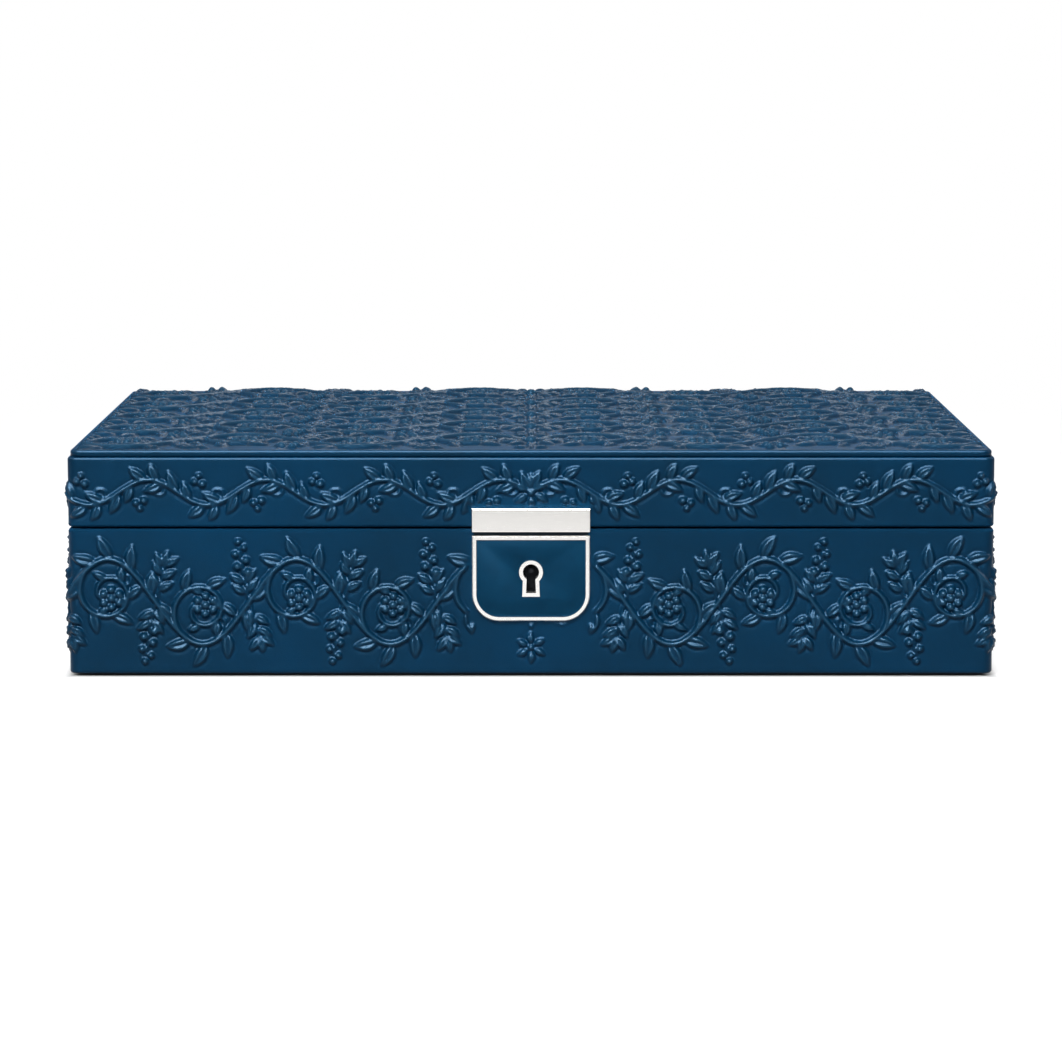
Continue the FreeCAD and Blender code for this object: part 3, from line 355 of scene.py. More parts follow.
def scroll_plate(middle, spacing, count, swing, stem_radius, turn_radius):
    """A running scroll from the middle outwards. In each half wave a branch curls round a bunch of
    berries, with a tendril before it. Where the wave crosses over, a sprig of berries leaves on one
    side and a spur of leaves on the other."""
    plate = Plate()
    fine = stem_radius * FINE_STEM
    for number in range(count):
        sign = -1 if number % 2 else 1
        wave = wave_stem(number * spacing, spacing, middle, swing, stem_radius, sign)
        leave, heading = place_on(wave, BRANCH_AT)
        branch = spiral_branch(leave, heading, turn_radius, BRANCH_TURNS, sign, stem_radius)
        for share, side, length in BRANCH_LEAVES:
            plate.leaves.append(leaf_on(branch, share, sign * side, BRANCH_LEAN, length,
                                        length * LEAF_ASPECT))
        for share, lean, length in WAVE_LEAVES:
            plate.leaves.append(leaf_on(wave, share, sign, lean, length, WAVE_LEAF_WIDTH))
        tip_u, tip_v = branch[-1][:2]
        plate.berries.append((tip_u, tip_v, BUNCH_MIDDLE))
        for ring in range(BUNCH_COUNT):
            angle = 2 * math.pi * ring / BUNCH_COUNT + BUNCH_TURN * sign
            plate.berries.append((tip_u + BUNCH_RING * math.cos(angle),
                                  tip_v + BUNCH_RING * math.sin(angle), BERRY))
        leave, heading = place_on(wave, TENDRIL_AT)
        tendril = spiral_branch(leave, heading - TENDRIL_LEAN * sign, TENDRIL_RADIUS, TENDRIL_TURNS,
                                sign, fine)
        sprig = short_stem(wave[-1], lean=0.30, rise=1.25, bend=0.04, reach=10, sign=sign, radius=fine)
        for step, (u, v, _) in enumerate(sprig[SPRIG_BARE:SPRIG_BARE + SPRIG_BERRIES]):
            aside = SPRIG_ASIDE if step % 2 else -SPRIG_ASIDE
            plate.berries.append((u + aside, v, BERRY - SPRIG_SHRINK * step))
        plate.berries.append((sprig[-1][0] + TIP_ASIDE, sprig[-1][1] + sign * TIP_AHEAD, TIP_BERRY))
        for share, side in SPRIG_LEAVES:
            plate.leaves.append(leaf_on(sprig, share, side, SPRIG_LEAN, *SPRIG_LEAF))
        spur = short_stem(wave[-1], lean=-0.35, rise=1.15, bend=0.02, reach=9, sign=-sign, radius=fine)
        for share, side in SPUR_LEAVES:
            plate.leaves.append(leaf_on(spur, share, side, SPUR_LEAN, *SPUR_LEAF))
        plate.leaves.append(leaf_on(spur, 1.0, 1, 0.0, *SPUR_LEAF))
        plate.stems += [wave, branch, tendril, sprig, spur]
    plate.mirrored()
    plate.add_rosette(0.0, middle, leaves=8, length=MIDDLE_STAR)
    for side in (1, -1):
        plate.add_rosette(0.0, middle + SIDE_STAR_AWAY * side, leaves=6, length=SIDE_STAR)
    return plate


# Leaves on the garland: share of the way, side, lean, length. Berries: along, away, size.
GARLAND_LEAVES = ((0.02, 1, 0.55, 7.4), (0.26, -1, 0.80, 6.6), (0.34, 1, 0.85, 6.4),
                  (0.58, 1, 0.75, 6.6), (0.80, -1, 0.70, 6.2))
GARLAND_BERRIES = ((0.0, 6.2, 1.2), (2.3, 6.9, 1.1), (1.1, 8.6, 1.0))
GARLAND_ASPECT = 0.47
CURL_AT, CURL_LEAN, CURL_RADIUS, CURL_TURNS, CURL_STEM = 0.40, 0.7, 2.9, 1.1, 0.6
BERRIES_AT = 0.62
GARLAND_STAR = 5.0


def garland_plate(middle, spacing, count, swing, stem_radius):
    """A narrow border: a low wave with leaves on both sides, a tendril and berries in each half wave."""
    plate = Plate()
    for number in range(count):
        sign = -1 if number % 2 else 1
        wave = wave_stem(number * spacing, spacing, middle, swing, stem_radius, sign)
        for share, side, lean, length in GARLAND_LEAVES:
            plate.leaves.append(leaf_on(wave, share, side * sign, lean, length, length * GARLAND_ASPECT))
        leave, heading = place_on(wave, CURL_AT)
        curl = spiral_branch(leave, heading - CURL_LEAN * sign, CURL_RADIUS, CURL_TURNS, sign,
                             stem_radius * CURL_STEM)
        plate.stems += [wave, curl]
        (knot_u, knot_v), _ = place_on(wave, BERRIES_AT)
        for along, away, size in GARLAND_BERRIES:
            plate.berries.append((knot_u + along, knot_v - sign * away, size))
    plate.mirrored()
    plate.add_rosette(0.0, middle, leaves=6, length=GARLAND_STAR)
    return plate


LEAF_LIFT = 0.95
BERRY_LIFT = 0.75
STEM_LIFT = 0.95
LEAF_STEPS, LEAF_STRIPS = 17, 11
LEAF_TIP = 0.004
LEAF_BEND = 0.10
# Powers that set how near its foot the leaf is widest, how blunt its ends are, and how soon it swells.
LEAF_WIDEST, LEAF_BLUNT, LEAF_SWELL = 0.85, 0.9, 0.55
MIDRIB_DEPTH, MIDRIB_WIDTH = 0.62, 0.22


def grid_faces(rows, columns):
    """Four-sided faces between the points of a grid."""
    corners = [i * columns + j for i in range(rows - 1) for j in range(columns - 1)]
    return [(a, a + columns, a + columns + 1, a + 1) for a in corners]


def leaf_blank():
    """One leaf, 1 long and 1 wide: pointed at both ends, puffed either side of a sunk midrib."""
    vertices = []
    for i in range(LEAF_STEPS):
        s = i / (LEAF_STEPS - 1)
        half = 0.5 * math.sin(math.pi * s ** LEAF_WIDEST) ** LEAF_BLUNT + LEAF_TIP
        bend = LEAF_BEND * math.sin(math.pi * s)
        swell = math.sin(math.pi * s) ** LEAF_SWELL
        for j in range(LEAF_STRIPS):
            t = 2 * j / (LEAF_STRIPS - 1) - 1
            puff = math.sqrt(max(1 - t * t, 0)) * (1 - MIDRIB_DEPTH * math.exp(-(t / MIDRIB_WIDTH) ** 2))
            vertices.append((s, half * t + bend, puff * swell))
    return mesh_piece("leaf_blank", vertices, grid_faces(LEAF_STEPS, LEAF_STRIPS))


leaf_shape = leaf_blank()


def new_tree(name, inputs, result):
    """A geometry node tree with its named sockets, and the node that holds what it is given."""
    tree = bpy.data.node_groups.new(name, "GeometryNodeTree")
    for label, kind in inputs.items():
        tree.interface.new_socket(label, in_out="INPUT", socket_type="NodeSocket" + kind)
    tree.interface.new_socket(result, in_out="OUTPUT", socket_type="NodeSocketGeometry")
    return tree, add(tree, "NodeGroupInput")


die_tree, given = new_tree("engraved_plate", {
    "Stems": "Geometry", "Leaf places": "Object", "Berry places": "Object", "Leaf shape": "Object",
    "Leaf lift": "Float", "Berry lift": "Float", "Stem lift": "Float"}, "Plate")
section = add(die_tree, "GeometryNodeCurvePrimitiveCircle", None, {"Resolution": 12, "Radius": 1.0})
stem_radius = add(die_tree, "GeometryNodeInputRadius")
swept = add(die_tree, "GeometryNodeCurveToMesh", None,
            {"Curve": given.outputs["Stems"], "Profile Curve": section.outputs["Curve"],
             "Scale": stem_radius, "Fill Caps": True})
flat = add(die_tree, "ShaderNodeCombineXYZ", None, {"X": 1.0, "Y": 1.0, "Z": given.outputs["Stem lift"]})
swept = add(die_tree, "GeometryNodeTransform", None, {"Geometry": swept, "Scale": flat})


def placed(points, shape, scale, turn=None):
    """Shapes set on the points of a guide mesh, each with its own size and heading."""
    guide = add(die_tree, "GeometryNodeObjectInfo", None, {"Object": points})
    inputs = {"Points": guide.outputs["Geometry"], "Instance": shape, "Scale": scale}
    if turn:
        inputs["Rotation"] = turn
    return add(die_tree, "GeometryNodeInstanceOnPoints", None, inputs).outputs[0]


carried = {}
for label in ("length", "width", "heading", "size"):
    carried[label] = add(die_tree, "GeometryNodeInputNamedAttribute", {"data_type": "FLOAT"},
                         {"Name": label}).outputs["Attribute"]
leaf = add(die_tree, "GeometryNodeObjectInfo", None, {"Object": given.outputs["Leaf shape"]})
leaf_size = add(die_tree, "ShaderNodeCombineXYZ", None,
                {"X": carried["length"], "Y": carried["width"], "Z": given.outputs["Leaf lift"]})
leaf_turn = add(die_tree, "FunctionNodeAxisAngleToRotation", None,
                {"Axis": (0, 0, 1), "Angle": carried["heading"]})
leaves = placed(given.outputs["Leaf places"], leaf.outputs["Geometry"], leaf_size, leaf_turn)
ball = add(die_tree, "GeometryNodeMeshUVSphere", None, {"Segments": 20, "Rings": 14, "Radius": 1.0})
berry_height = add(die_tree, "ShaderNodeMath", "MULTIPLY",
                   {0: carried["size"], 1: given.outputs["Berry lift"]})
berry_size = add(die_tree, "ShaderNodeCombineXYZ", None,
                 {"X": carried["size"], "Y": carried["size"], "Z": berry_height})
berries = placed(given.outputs["Berry places"], ball.outputs["Mesh"], berry_size)
joined = add(die_tree, "GeometryNodeJoinGeometry")
for part in (berries, leaves, swept.outputs[0]):
    die_tree.links.new(part, joined.inputs[0])
real = add(die_tree, "GeometryNodeRealizeInstances", None, {0: joined})
add(die_tree, "NodeGroupOutput", None, {0: real})


def socket_name(tree, label):
    """The identifier that a modifier knows a tree's input by."""
    for item in tree.interface.items_tree:
        if item.name == label and item.in_out == "INPUT":
            return item.identifier
    raise KeyError(label)


def run_tree(made, tree, values):
    """Run a node tree on an object and leave a plain mesh in its place."""
    modifier = made.modifiers.new(tree.name, "NODES")
    modifier.node_group = tree
    for label, given_value in values.items():
        modifier[socket_name(tree, label)] = given_value
    bpy.context.view_layer.update()
    graph = bpy.context.evaluated_depsgraph_get()
    mesh = bpy.data.meshes.new_from_object(made.evaluated_get(graph))
    made.modifiers.remove(modifier)
    return mesh


def guide_points(name, places, attributes):
    """Bare points that carry named numbers, for shapes to be set on."""
    guide = mesh_piece(name, [(u, v, 0) for u, v in places], [])
    for label, numbers in attributes.items():
        layer = guide.data.attributes.new(label, "FLOAT", "POINT")
        layer.data.foreach_set("value", numbers)
    return guide


def engrave(name, plate):
    """Turn a plate's design into the mesh that the leather is pressed over, in mm."""
    drawing = bpy.data.curves.new(name + "_stems", "CURVE")
    drawing.dimensions = "3D"
    for stem in plate.stems:
        line = drawing.splines.new("POLY")
        line.points.add(len(stem) - 1)
        for point, (u, v, r) in zip(line.points, stem):
            point.co = (u, v, 0, 1)
            point.radius = r
    stems = bpy.data.objects.new(name + "_stems", drawing)
    bpy.context.collection.objects.link(stems)
    leaf_points = guide_points(name + "_leaf_places", [row[:2] for row in plate.leaves],
                               {"heading": [row[2] for row in plate.leaves],
                                "length": [row[3] for row in plate.leaves],
                                "width": [row[4] for row in plate.leaves]})
    berry_points = guide_points(name + "_berry_places", [row[:2] for row in plate.berries],
                                {"size": [row[2] for row in plate.berries]})
    mesh = run_tree(stems, die_tree, {"Leaf places": leaf_points, "Berry places": berry_points,
                                      "Leaf shape": leaf_shape, "Leaf lift": LEAF_LIFT,
                                      "Berry lift": BERRY_LIFT, "Stem lift": STEM_LIFT})
    for scrap in (stems, leaf_points, berry_points):
        bpy.data.objects.remove(scrap)
    die = bpy.data.objects.new(name, mesh)
    bpy.context.collection.objects.link(die)
    return die


BASE_LOW, BASE_HIGH = [corner[2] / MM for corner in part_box("base_leather_wrap")]
LID_LOW, LID_HIGH = [corner[2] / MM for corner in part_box("lid_leather_wrap")]
SCROLL = dict(spacing=28.4, swing=13.0, stem_radius=0.85, turn_radius=9.6)
base_plate = scroll_plate(middle=(BASE_HIGH - BASE_LOW) / 2, count=5, **SCROLL)
base_die = engrave("base_die", base_plate)
lid_plate = garland_plate(middle=(LID_HIGH - LID_LOW) / 2, spacing=17.75, count=8, swing=3.8,
                          stem_radius=0.75)
lid_die = engrave("lid_die", lid_plate)
top_plate = Plate()
row_design = scroll_plate(middle=0.0, count=4, **SCROLL)
ROW_SCALE = 1.25
ROW_PITCH = 40.0
ROW_COUNT = 5
for row in range(ROW_COUNT):
    top_plate.add_row(row_design, (row - (ROW_COUNT - 1) / 2) * ROW_PITCH, ROW_SCALE)
top_die = engrave("top_die", top_plate)


# Embossed leather
# Cowhide 1.2 mm thick, dyed dark blue, with a fine grain and a satin finish, embossed and then glued round
# the boards. It is shinier on the crests and dull along the seam. The crests are painted paler, partly
# wear and partly painted highlight, the sunk line beside them is painted darker, partly dye and partly
# painted shade, and the narrow band that shows under the hasp is painted black as a painted shadow.

leather_blue, tree, coords = new_material("blue_embossed_cowhide")
GRAIN_MM = 0.55
# Pores are really about a tenth of a millimetre across, and are drawn twice as coarse so that they show.
PORE_MM = 0.22
CLOUD_MM = 30.0
cloud = add(tree, "ShaderNodeTexNoise", None, {"Vector": coords, "Scale": 1000 / CLOUD_MM, "Detail": 3.0})
tint = add(tree, "ShaderNodeValToRGB", None, {"Fac": cloud.outputs["Fac"]})
for stop, place, tone in zip(tint.color_ramp.elements, (0.3, 0.72), ("#01253C", "#012D49")):
    stop.position, stop.color = place, linear(tone)
cells = add(tree, "ShaderNodeTexVoronoi", {"feature": "DISTANCE_TO_EDGE"},
            {"Vector": coords, "Scale": 1000 / GRAIN_MM, "Randomness": 1.0})
cell_height = add(tree, "ShaderNodeMapRange", None,
                  {"Value": cells.outputs["Distance"], "From Max": 0.22})
pores = add(tree, "ShaderNodeTexNoise", None, {"Vector": coords, "Scale": 1000 / PORE_MM, "Detail": 2.0})
grain = add(tree, "ShaderNodeMath", "MULTIPLY_ADD", {0: pores.outputs["Fac"], 1: 0.5, 2: cell_height})
bump = add(tree, "ShaderNodeBump", None, {"Height": grain, "Strength": 0.16, "Distance": 0.08 * MM})
relief = add(tree, "ShaderNodeAttribute", {"attribute_name": "raised"}).outputs["Fac"]
# The crests are painted paler, partly wear and partly a painted highlight.
crest_wear_and_highlight = add(tree, "ShaderNodeMapRange", SMOOTH,
             {"Value": relief, "From Min": 0.25, "From Max": 1.25, "To Max": 0.6})
crest_wear_highlight_colour = add(tree, "ShaderNodeMix", {"data_type": "RGBA"},
            {0: crest_wear_and_highlight, 6: tint.outputs["Color"], 7: linear("#28526F")})
# The sunk line beside each crest is painted darker, partly dye and partly painted shade.
sunk_dye_and_shade = add(tree, "ShaderNodeMapRange", SMOOTH,
               {"Value": relief, "From Min": -0.02, "From Max": -0.32, "To Max": 0.8})
sunk_dye_and_shade_colour = add(tree, "ShaderNodeMix", {"data_type": "RGBA"},
           {0: sunk_dye_and_shade, 6: crest_wear_highlight_colour.outputs[2], 7: linear("#01182A")})
# The band behind the gap under the hasp is painted near black: a painted shadow.
HASP_SHADOW_BAND = (0, -100 * MM, 43.8 * MM)
HASP_SHADOW_HALF = (17.4 * MM, 2 * MM, 1.0 * MM)
outside_hasp_shadow = out_of_box(tree, coords, HASP_SHADOW_BAND, HASP_SHADOW_HALF)
outside_painted_shade = add(tree, "ShaderNodeMath", "GREATER_THAN", {0: outside_hasp_shadow, 1: 0.0})
with_painted_shade = add(tree, "ShaderNodeMix", {"data_type": "RGBA"},
              {0: outside_painted_shade, 6: linear("#020304"), 7: sunk_dye_and_shade_colour.outputs[2]})
gloss = add(tree, "ShaderNodeMapRange", None,
            {"Value": relief, "From Min": 0.0, "From Max": 0.9, "To Min": 0.35, "To Max": 0.24})
SEAM_HEIGHT = (BASE_HIGH + LID_LOW) / 2 * MM
height = add(tree, "ShaderNodeSeparateXYZ", None, {0: coords}).outputs["Z"]
from_seam = add(tree, "ShaderNodeMath", "SUBTRACT", {0: height, 1: SEAM_HEIGHT})
from_seam = add(tree, "ShaderNodeMath", "ABSOLUTE", {0: from_seam})
burnish = add(tree, "ShaderNodeMapRange", SMOOTH,
              {"Value": from_seam, "From Min": 1.0 * MM, "From Max": 1.8 * MM,
               "To Min": 0.9, "To Max": 0.0})
dull = add(tree, "ShaderNodeMath", "MAXIMUM", {0: burnish, 1: gloss})
skin = add(tree, "ShaderNodeBsdfPrincipled", None,
           {"Base Color": with_painted_shade.outputs[2], "Roughness": dull,
            "Normal": bump.outputs["Normal"], "IOR": 1.5, "Specular IOR Level": 0.15,
            "Specular Tint": linear("#BCE2FF")})
add(tree, "ShaderNodeOutputMaterial", None, {"Surface": skin})

press_tree, given = new_tree("press_over_plate", {
    "Leather": "Geometry", "Plate": "Object", "Relief": "Float", "Softness": "Int",
    "Sunk width": "Int", "Sunk depth": "Float", "Finish": "Material"}, "Pressed")
plate = add(press_tree, "GeometryNodeObjectInfo", None, {"Object": given.outputs["Plate"]})
PRESS_REACH = 5.0
BLUR_WEIGHT = 0.9
spot = add(press_tree, "GeometryNodeInputNamedAttribute", {"data_type": "FLOAT_VECTOR"},
           {"Name": "plate_place"})
above = add(press_tree, "ShaderNodeVectorMath", "ADD",
            {0: spot.outputs["Attribute"], 1: (0, 0, PRESS_REACH)})
touch = add(press_tree, "GeometryNodeRaycast", None,
            {"Target Geometry": plate.outputs["Geometry"], "Source Position": above,
             "Ray Direction": (0, 0, -1), "Ray Length": PRESS_REACH})
lift = add(press_tree, "ShaderNodeMath", "SUBTRACT", {0: PRESS_REACH, 1: touch.outputs["Hit Distance"]})
lift = add(press_tree, "ShaderNodeMath", "MULTIPLY", {0: lift, 1: touch.outputs["Is Hit"]})
hold = add(press_tree, "GeometryNodeInputNamedAttribute", {"data_type": "FLOAT"}, {"Name": "pressed"})
lift = add(press_tree, "ShaderNodeMath", "MULTIPLY", {0: lift, 1: hold.outputs["Attribute"]})
soft = add(press_tree, "GeometryNodeBlurAttribute", {"data_type": "FLOAT"},
           {"Value": lift, "Iterations": given.outputs["Softness"], "Weight": BLUR_WEIGHT})
wide = add(press_tree, "GeometryNodeBlurAttribute", {"data_type": "FLOAT"},
           {"Value": lift, "Iterations": given.outputs["Sunk width"], "Weight": BLUR_WEIGHT})
sunk = add(press_tree, "ShaderNodeMath", "SUBTRACT", {0: soft, 1: wide})
soft = add(press_tree, "ShaderNodeMath", "MULTIPLY_ADD",
           {0: sunk, 1: given.outputs["Sunk depth"], 2: soft})
soft = add(press_tree, "ShaderNodeMath", "MULTIPLY", {0: soft, 1: hold.outputs["Attribute"]})
rise = add(press_tree, "ShaderNodeMath", "MULTIPLY", {0: soft, 1: given.outputs["Relief"]})
outward = add(press_tree, "GeometryNodeInputNormal")
step = add(press_tree, "ShaderNodeVectorMath", "SCALE", {0: outward, "Scale": rise})
shaped = add(press_tree, "GeometryNodeSetPosition", None,
             {"Geometry": given.outputs["Leather"], "Offset": step})
marked = add(press_tree, "GeometryNodeStoreNamedAttribute", {"data_type": "FLOAT", "domain": "POINT"},
             {"Geometry": shaped, "Name": "raised", "Value": soft})
smooth = add(press_tree, "GeometryNodeSetShadeSmooth", None, {"Geometry": marked})
real = add(press_tree, "GeometryNodeRealizeInstances", None, {0: smooth})
dressed = add(press_tree, "GeometryNodeSetMaterial", None,
              {"Geometry": real, "Material": given.outputs["Finish"]})
add(press_tree, "NodeGroupOutput", None, {0: dressed})

# The wrap's sizes, in mm.
LEATHER = 1.2
CASE_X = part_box("base_front_board")[1][0] / MM + LEATHER
CASE_Y = 100.0
CORNER = 3.0
RIM_ROUND = 0.8
RIM_STEPS = 5
RIM_FLAT = 2.5
BOARD_IN = 9.2
TURN_IN = 12.0
STEP = 0.38
CORNER_STEPS = 12
PAST_CORNER = 2.0
FADE_EDGE = 2.2
BEVEL = math.radians(50)
BEVEL_SLOPE = math.tan(BEVEL)
BEVEL_START = 97.0
BEVEL_DROP = (CASE_Y - BEVEL_START) * BEVEL_SLOPE
RIM_SUNK = 0.15
PLATE_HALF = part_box("hasp_bar")[1][0] / MM
PLATE_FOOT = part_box("lock_plate")[0][2] / MM
PLATE_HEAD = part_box("hasp_bar")[1][2] / MM
KEY_WINDOW_HALF, KEY_WINDOW_FOOT, KEY_WINDOW_HEAD = 4.4, 23.5, 36.5
RELIEF = 1.2 * MM
SOFTNESS = 1
SUNK_DEPTH = 1.0
SIDE_SUNK_WIDTH = 9
TOP_SUNK_WIDTH = 6
MERGE = 0.01 * MM


def plan_long(sign):
    """Points along the front (-1) or back (+1), round both corners and a little way along the ends.
    Each point is x, y, the way out in x and in y, and the place along the plate."""
    half = CASE_X - CORNER
    flat = np.linspace(-half, half, int(2 * half / STEP) + 1)
    rows = [(u, sign * CASE_Y, 0.0, sign * 1.0, u) for u in flat]
    arc = []
    for k in range(1, CORNER_STEPS + 1):
        angle = math.pi / 2 * k / CORNER_STEPS
        arc.append((half + CORNER * math.sin(angle), sign * (CASE_Y - CORNER + CORNER * math.cos(angle)),
                    math.sin(angle), sign * math.cos(angle), half + CORNER * angle))
    quarter = half + CORNER * math.pi / 2
    for k in range(1, int(PAST_CORNER / STEP) + 1):
        arc.append((CASE_X, sign * (CASE_Y - CORNER - k * STEP), 1.0, 0.0, quarter + k * STEP))
    left = [(-x, y, -nx, ny, -u) for x, y, nx, ny, u in reversed(arc)]
    rows = left + rows + arc
    return rows if sign < 0 else [(-x, y, -nx, ny, u) for x, y, nx, ny, u in rows]


def plan_end(sign):
    """The same along the left (-1) or right (+1) end, between what the long panels cover."""
    half = CASE_Y - CORNER - PAST_CORNER
    flat = np.linspace(-half, half, int(2 * half / STEP) + 1)
    return [(sign * CASE_X, sign * u, float(sign), 0.0, u) for u in flat]


def profile_of(low, high, rim_at_top, window):
    """The leather's section: out over the rim, along the face, in at the other end, and back inside.
    Each point is how far out it lies and its height."""
    arc = [math.pi / 2 * k / RIM_STEPS for k in range(RIM_STEPS + 1)]
    face_low, face_high = low + RIM_ROUND, high - RIM_ROUND
    inner_top, inner_low = (BOARD_IN, TURN_IN) if rim_at_top else (TURN_IN, BOARD_IN)
    sunk_top, sunk_low = (RIM_SUNK, 0.0) if rim_at_top else (0.0, RIM_SUNK)
    points = [(-inner_top, high - sunk_top), (-RIM_FLAT, high - sunk_top)]
    points += [(-RIM_ROUND + RIM_ROUND * math.sin(a), face_high + RIM_ROUND * math.cos(a)) for a in arc]
    rows = int((face_high - face_low) / STEP)
    points += [(0.0, face_high - (face_high - face_low) * k / rows) for k in range(1, rows)]
    points += [(-RIM_ROUND + RIM_ROUND * math.cos(a), face_low - RIM_ROUND * math.sin(a)) for a in arc]
    points += [(-RIM_FLAT, low + sunk_low), (-inner_low, low + sunk_low), (-inner_low, low + LEATHER)]
    points += [(-LEATHER, low + LEATHER)]
    if window:
        points += [(-LEATHER, window[1]), (-LEATHER, window[2])]
    points += [(-LEATHER, high - LEATHER), (-inner_top, high - LEATHER)]
    return points


def offset_place(row, out):
    """A point of the plan moved in or out, and never past the mitre that it shares with the next side."""
    x, y, nx, ny = row[:4]
    if nx == 0.0:
        room = CASE_X - abs(x)
    elif ny == 0.0:
        room = CASE_Y - abs(y)
    else:
        room = CORNER
    out = max(out, -room)
    return x + nx * out, y + ny * out


def eased(share):
    """A share held between 0 and 1, that starts and ends gently."""
    share = min(max(share, 0.0), 1.0)
    return share * share * (3 - 2 * share)


def store_places(made, places, pressed):
    """Keep each point's place on the plate, and how far it is pressed there, for the press to read."""
    layer = made.data.attributes.new("plate_place", "FLOAT_VECTOR", "POINT")
    layer.data.foreach_set("vector", np.array(places, dtype=np.float32).ravel())
    layer = made.data.attributes.new("pressed", "FLOAT", "POINT")
    layer.data.foreach_set("value", np.array(pressed, dtype=np.float32))


def wrap_panel(name, plan, low, high, rim_at_top, face_high, face_low, window=None):
    """One panel of leather as a closed strip, with its place on the plate stored at every point.
    A window, given as half width, foot and head, is cut through the face and the back."""
    section = profile_of(low, high, rim_at_top, window)
    vertices, places, pressed = [], [], []
    u_end = max(abs(row[4]) for row in plan)
    inside_from = len(section) - (5 if window else 3)
    for row in plan:
        for number, (out, height) in enumerate(section):
            x, y = offset_place(row, out)
            inside = number >= inside_from
            z = height
            if y > BEVEL_START:
                skin = LEATHER / math.cos(BEVEL) if inside else 0.0
                drop = (y - BEVEL_START) * BEVEL_SLOPE + skin
                z = min(z, high - drop) if rim_at_top else max(z, low + drop)
            vertices.append((x * MM, y * MM, z * MM))
            places.append((row[4], z - low, 0.0))
            edge = min(face_high - z, z - face_low, u_end - abs(row[4]))
            if row[1] < 0:
                beside = max(abs(x) - PLATE_HALF, PLATE_FOOT - z, z - PLATE_HEAD)
                edge = min(edge, beside)
            pressed.append(eased(edge / FADE_EDGE) if out == 0.0 else 0.0)
    count = len(section)
    cut_rows, head, foot = [], 0, 0
    if window:
        half_width, foot_z, head_z = window
        cut_rows = [i for i in range(len(plan) - 1)
                    if max(abs(plan[i][4]), abs(plan[i + 1][4])) < half_width]
        face_rows = [j for j in range(count) if section[j][0] == 0.0 and foot_z < section[j][1] < head_z]
        head, foot = face_rows[0], face_rows[-1]
    back_foot, back_head = count - 4, count - 3
    faces = []
    for i in range(len(plan) - 1):
        here, ahead = i * count, (i + 1) * count
        for j in range(count):
            k = (j + 1) % count
            if i in cut_rows and (head <= j < foot or j == back_foot):
                continue
            faces.append((here + j, here + k, ahead + k, ahead + j))
        if i in cut_rows:
            faces.append((here + head, ahead + head, ahead + back_head, here + back_head))
            faces.append((here + foot, here + back_foot, ahead + back_foot, ahead + foot))
    if cut_rows:
        for i in (cut_rows[0], cut_rows[-1] + 1):
            jamb = [i * count + j for j in range(head, foot + 1)]
            faces.append(tuple(jamb + [i * count + back_foot, i * count + back_head]))
    faces.append(tuple(range(count)))
    faces.append(tuple((len(plan) - 1) * count + j for j in reversed(range(count))))
    made = mesh_piece(name, vertices, faces)
    store_places(made, places, pressed)
    return made


def tidy_mesh(mesh):
    """Merge what fell together, and turn every face outwards."""
    work = bmesh.new()
    work.from_mesh(mesh)
    bmesh.ops.remove_doubles(work, verts=work.verts, dist=MERGE)
    bmesh.ops.dissolve_degenerate(work, edges=work.edges, dist=MERGE)
    bmesh.ops.recalc_face_normals(work, faces=work.faces)
    work.to_mesh(mesh)
    work.free()


def press(made, die, sunk_width):
    """Press a leather mesh over a plate, and take away the marks that only the press needed."""
    tidy_mesh(made.data)
    mesh = run_tree(made, press_tree, {"Plate": die, "Relief": RELIEF, "Softness": SOFTNESS,
                                       "Sunk width": sunk_width, "Sunk depth": SUNK_DEPTH,
                                       "Finish": leather_blue})
    old = made.data
    made.data = mesh
    bpy.data.meshes.remove(old)
    for label in ("plate_place", "pressed"):
        mesh.attributes.remove(mesh.attributes[label])


PANELS = {"front": plan_long(-1), "back": plan_long(1), "left": plan_end(-1), "right": plan_end(1)}
for half, low, high, die in (("base", BASE_LOW, BASE_HIGH, base_die), ("lid", LID_LOW, LID_HIGH, lid_die)):
    for side, plan in PANELS.items():
        face_high = high - (BEVEL_DROP if side == "back" and half == "base" else 0) - RIM_ROUND
        face_low = low + (BEVEL_DROP if side == "back" and half == "lid" else 0) + RIM_ROUND
        window = None
        if half == "base" and side == "front":
            window = (KEY_WINDOW_HALF, KEY_WINDOW_FOOT, KEY_WINDOW_HEAD)
        panel = wrap_panel(f"{half}_leather_{side}", plan, low, high, half == "base", face_high, face_low,
                           window)
        press(panel, die, SIDE_SUNK_WIDTH)
        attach(panel, half)
        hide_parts(f"{half}_leather_wrap")


# Lid panel
# A stiff card with a thin sheet of wadding, covered in the same embossed leather. The leather is drawn
# down over the card's edge and in under it, and the finished panel is glued on top of the lid.

PANEL_LOW, PANEL_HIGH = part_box("lid_panel_leather")
PANEL_X, PANEL_Y = PANEL_HIGH[0] / MM, PANEL_HIGH[1] / MM
PANEL_TOP, PANEL_FOOT = PANEL_HIGH[2] / MM, PANEL_LOW[2] / MM
PANEL_CORNER = 3.0
PANEL_ROUND = 0.9
PANEL_STEP = 0.52
PANEL_CROWN, CROWN_POWER = 0.35, 4
PANEL_UNDER = 4.0
PANEL_EDGE_LINES = (0.0, 0.05, 0.18, 0.40, 0.70, 1.10)
PANEL_PLAIN = 0.8
PANEL_FADE = 2.0
PANEL_FOOT_ROUND = 0.3
PANEL_DEPTH = 1.0


def panel_lines(half):
    """Grid lines across the panel: even over the flat, closer where the edge rounds over."""
    edge = [half - inset for inset in PANEL_EDGE_LINES]
    inner = edge[-1]
    flat = np.linspace(-inner, inner, int(2 * inner / PANEL_STEP) + 1)
    return np.concatenate([[-e for e in edge[:-1]], flat, edge[:-1][::-1]])


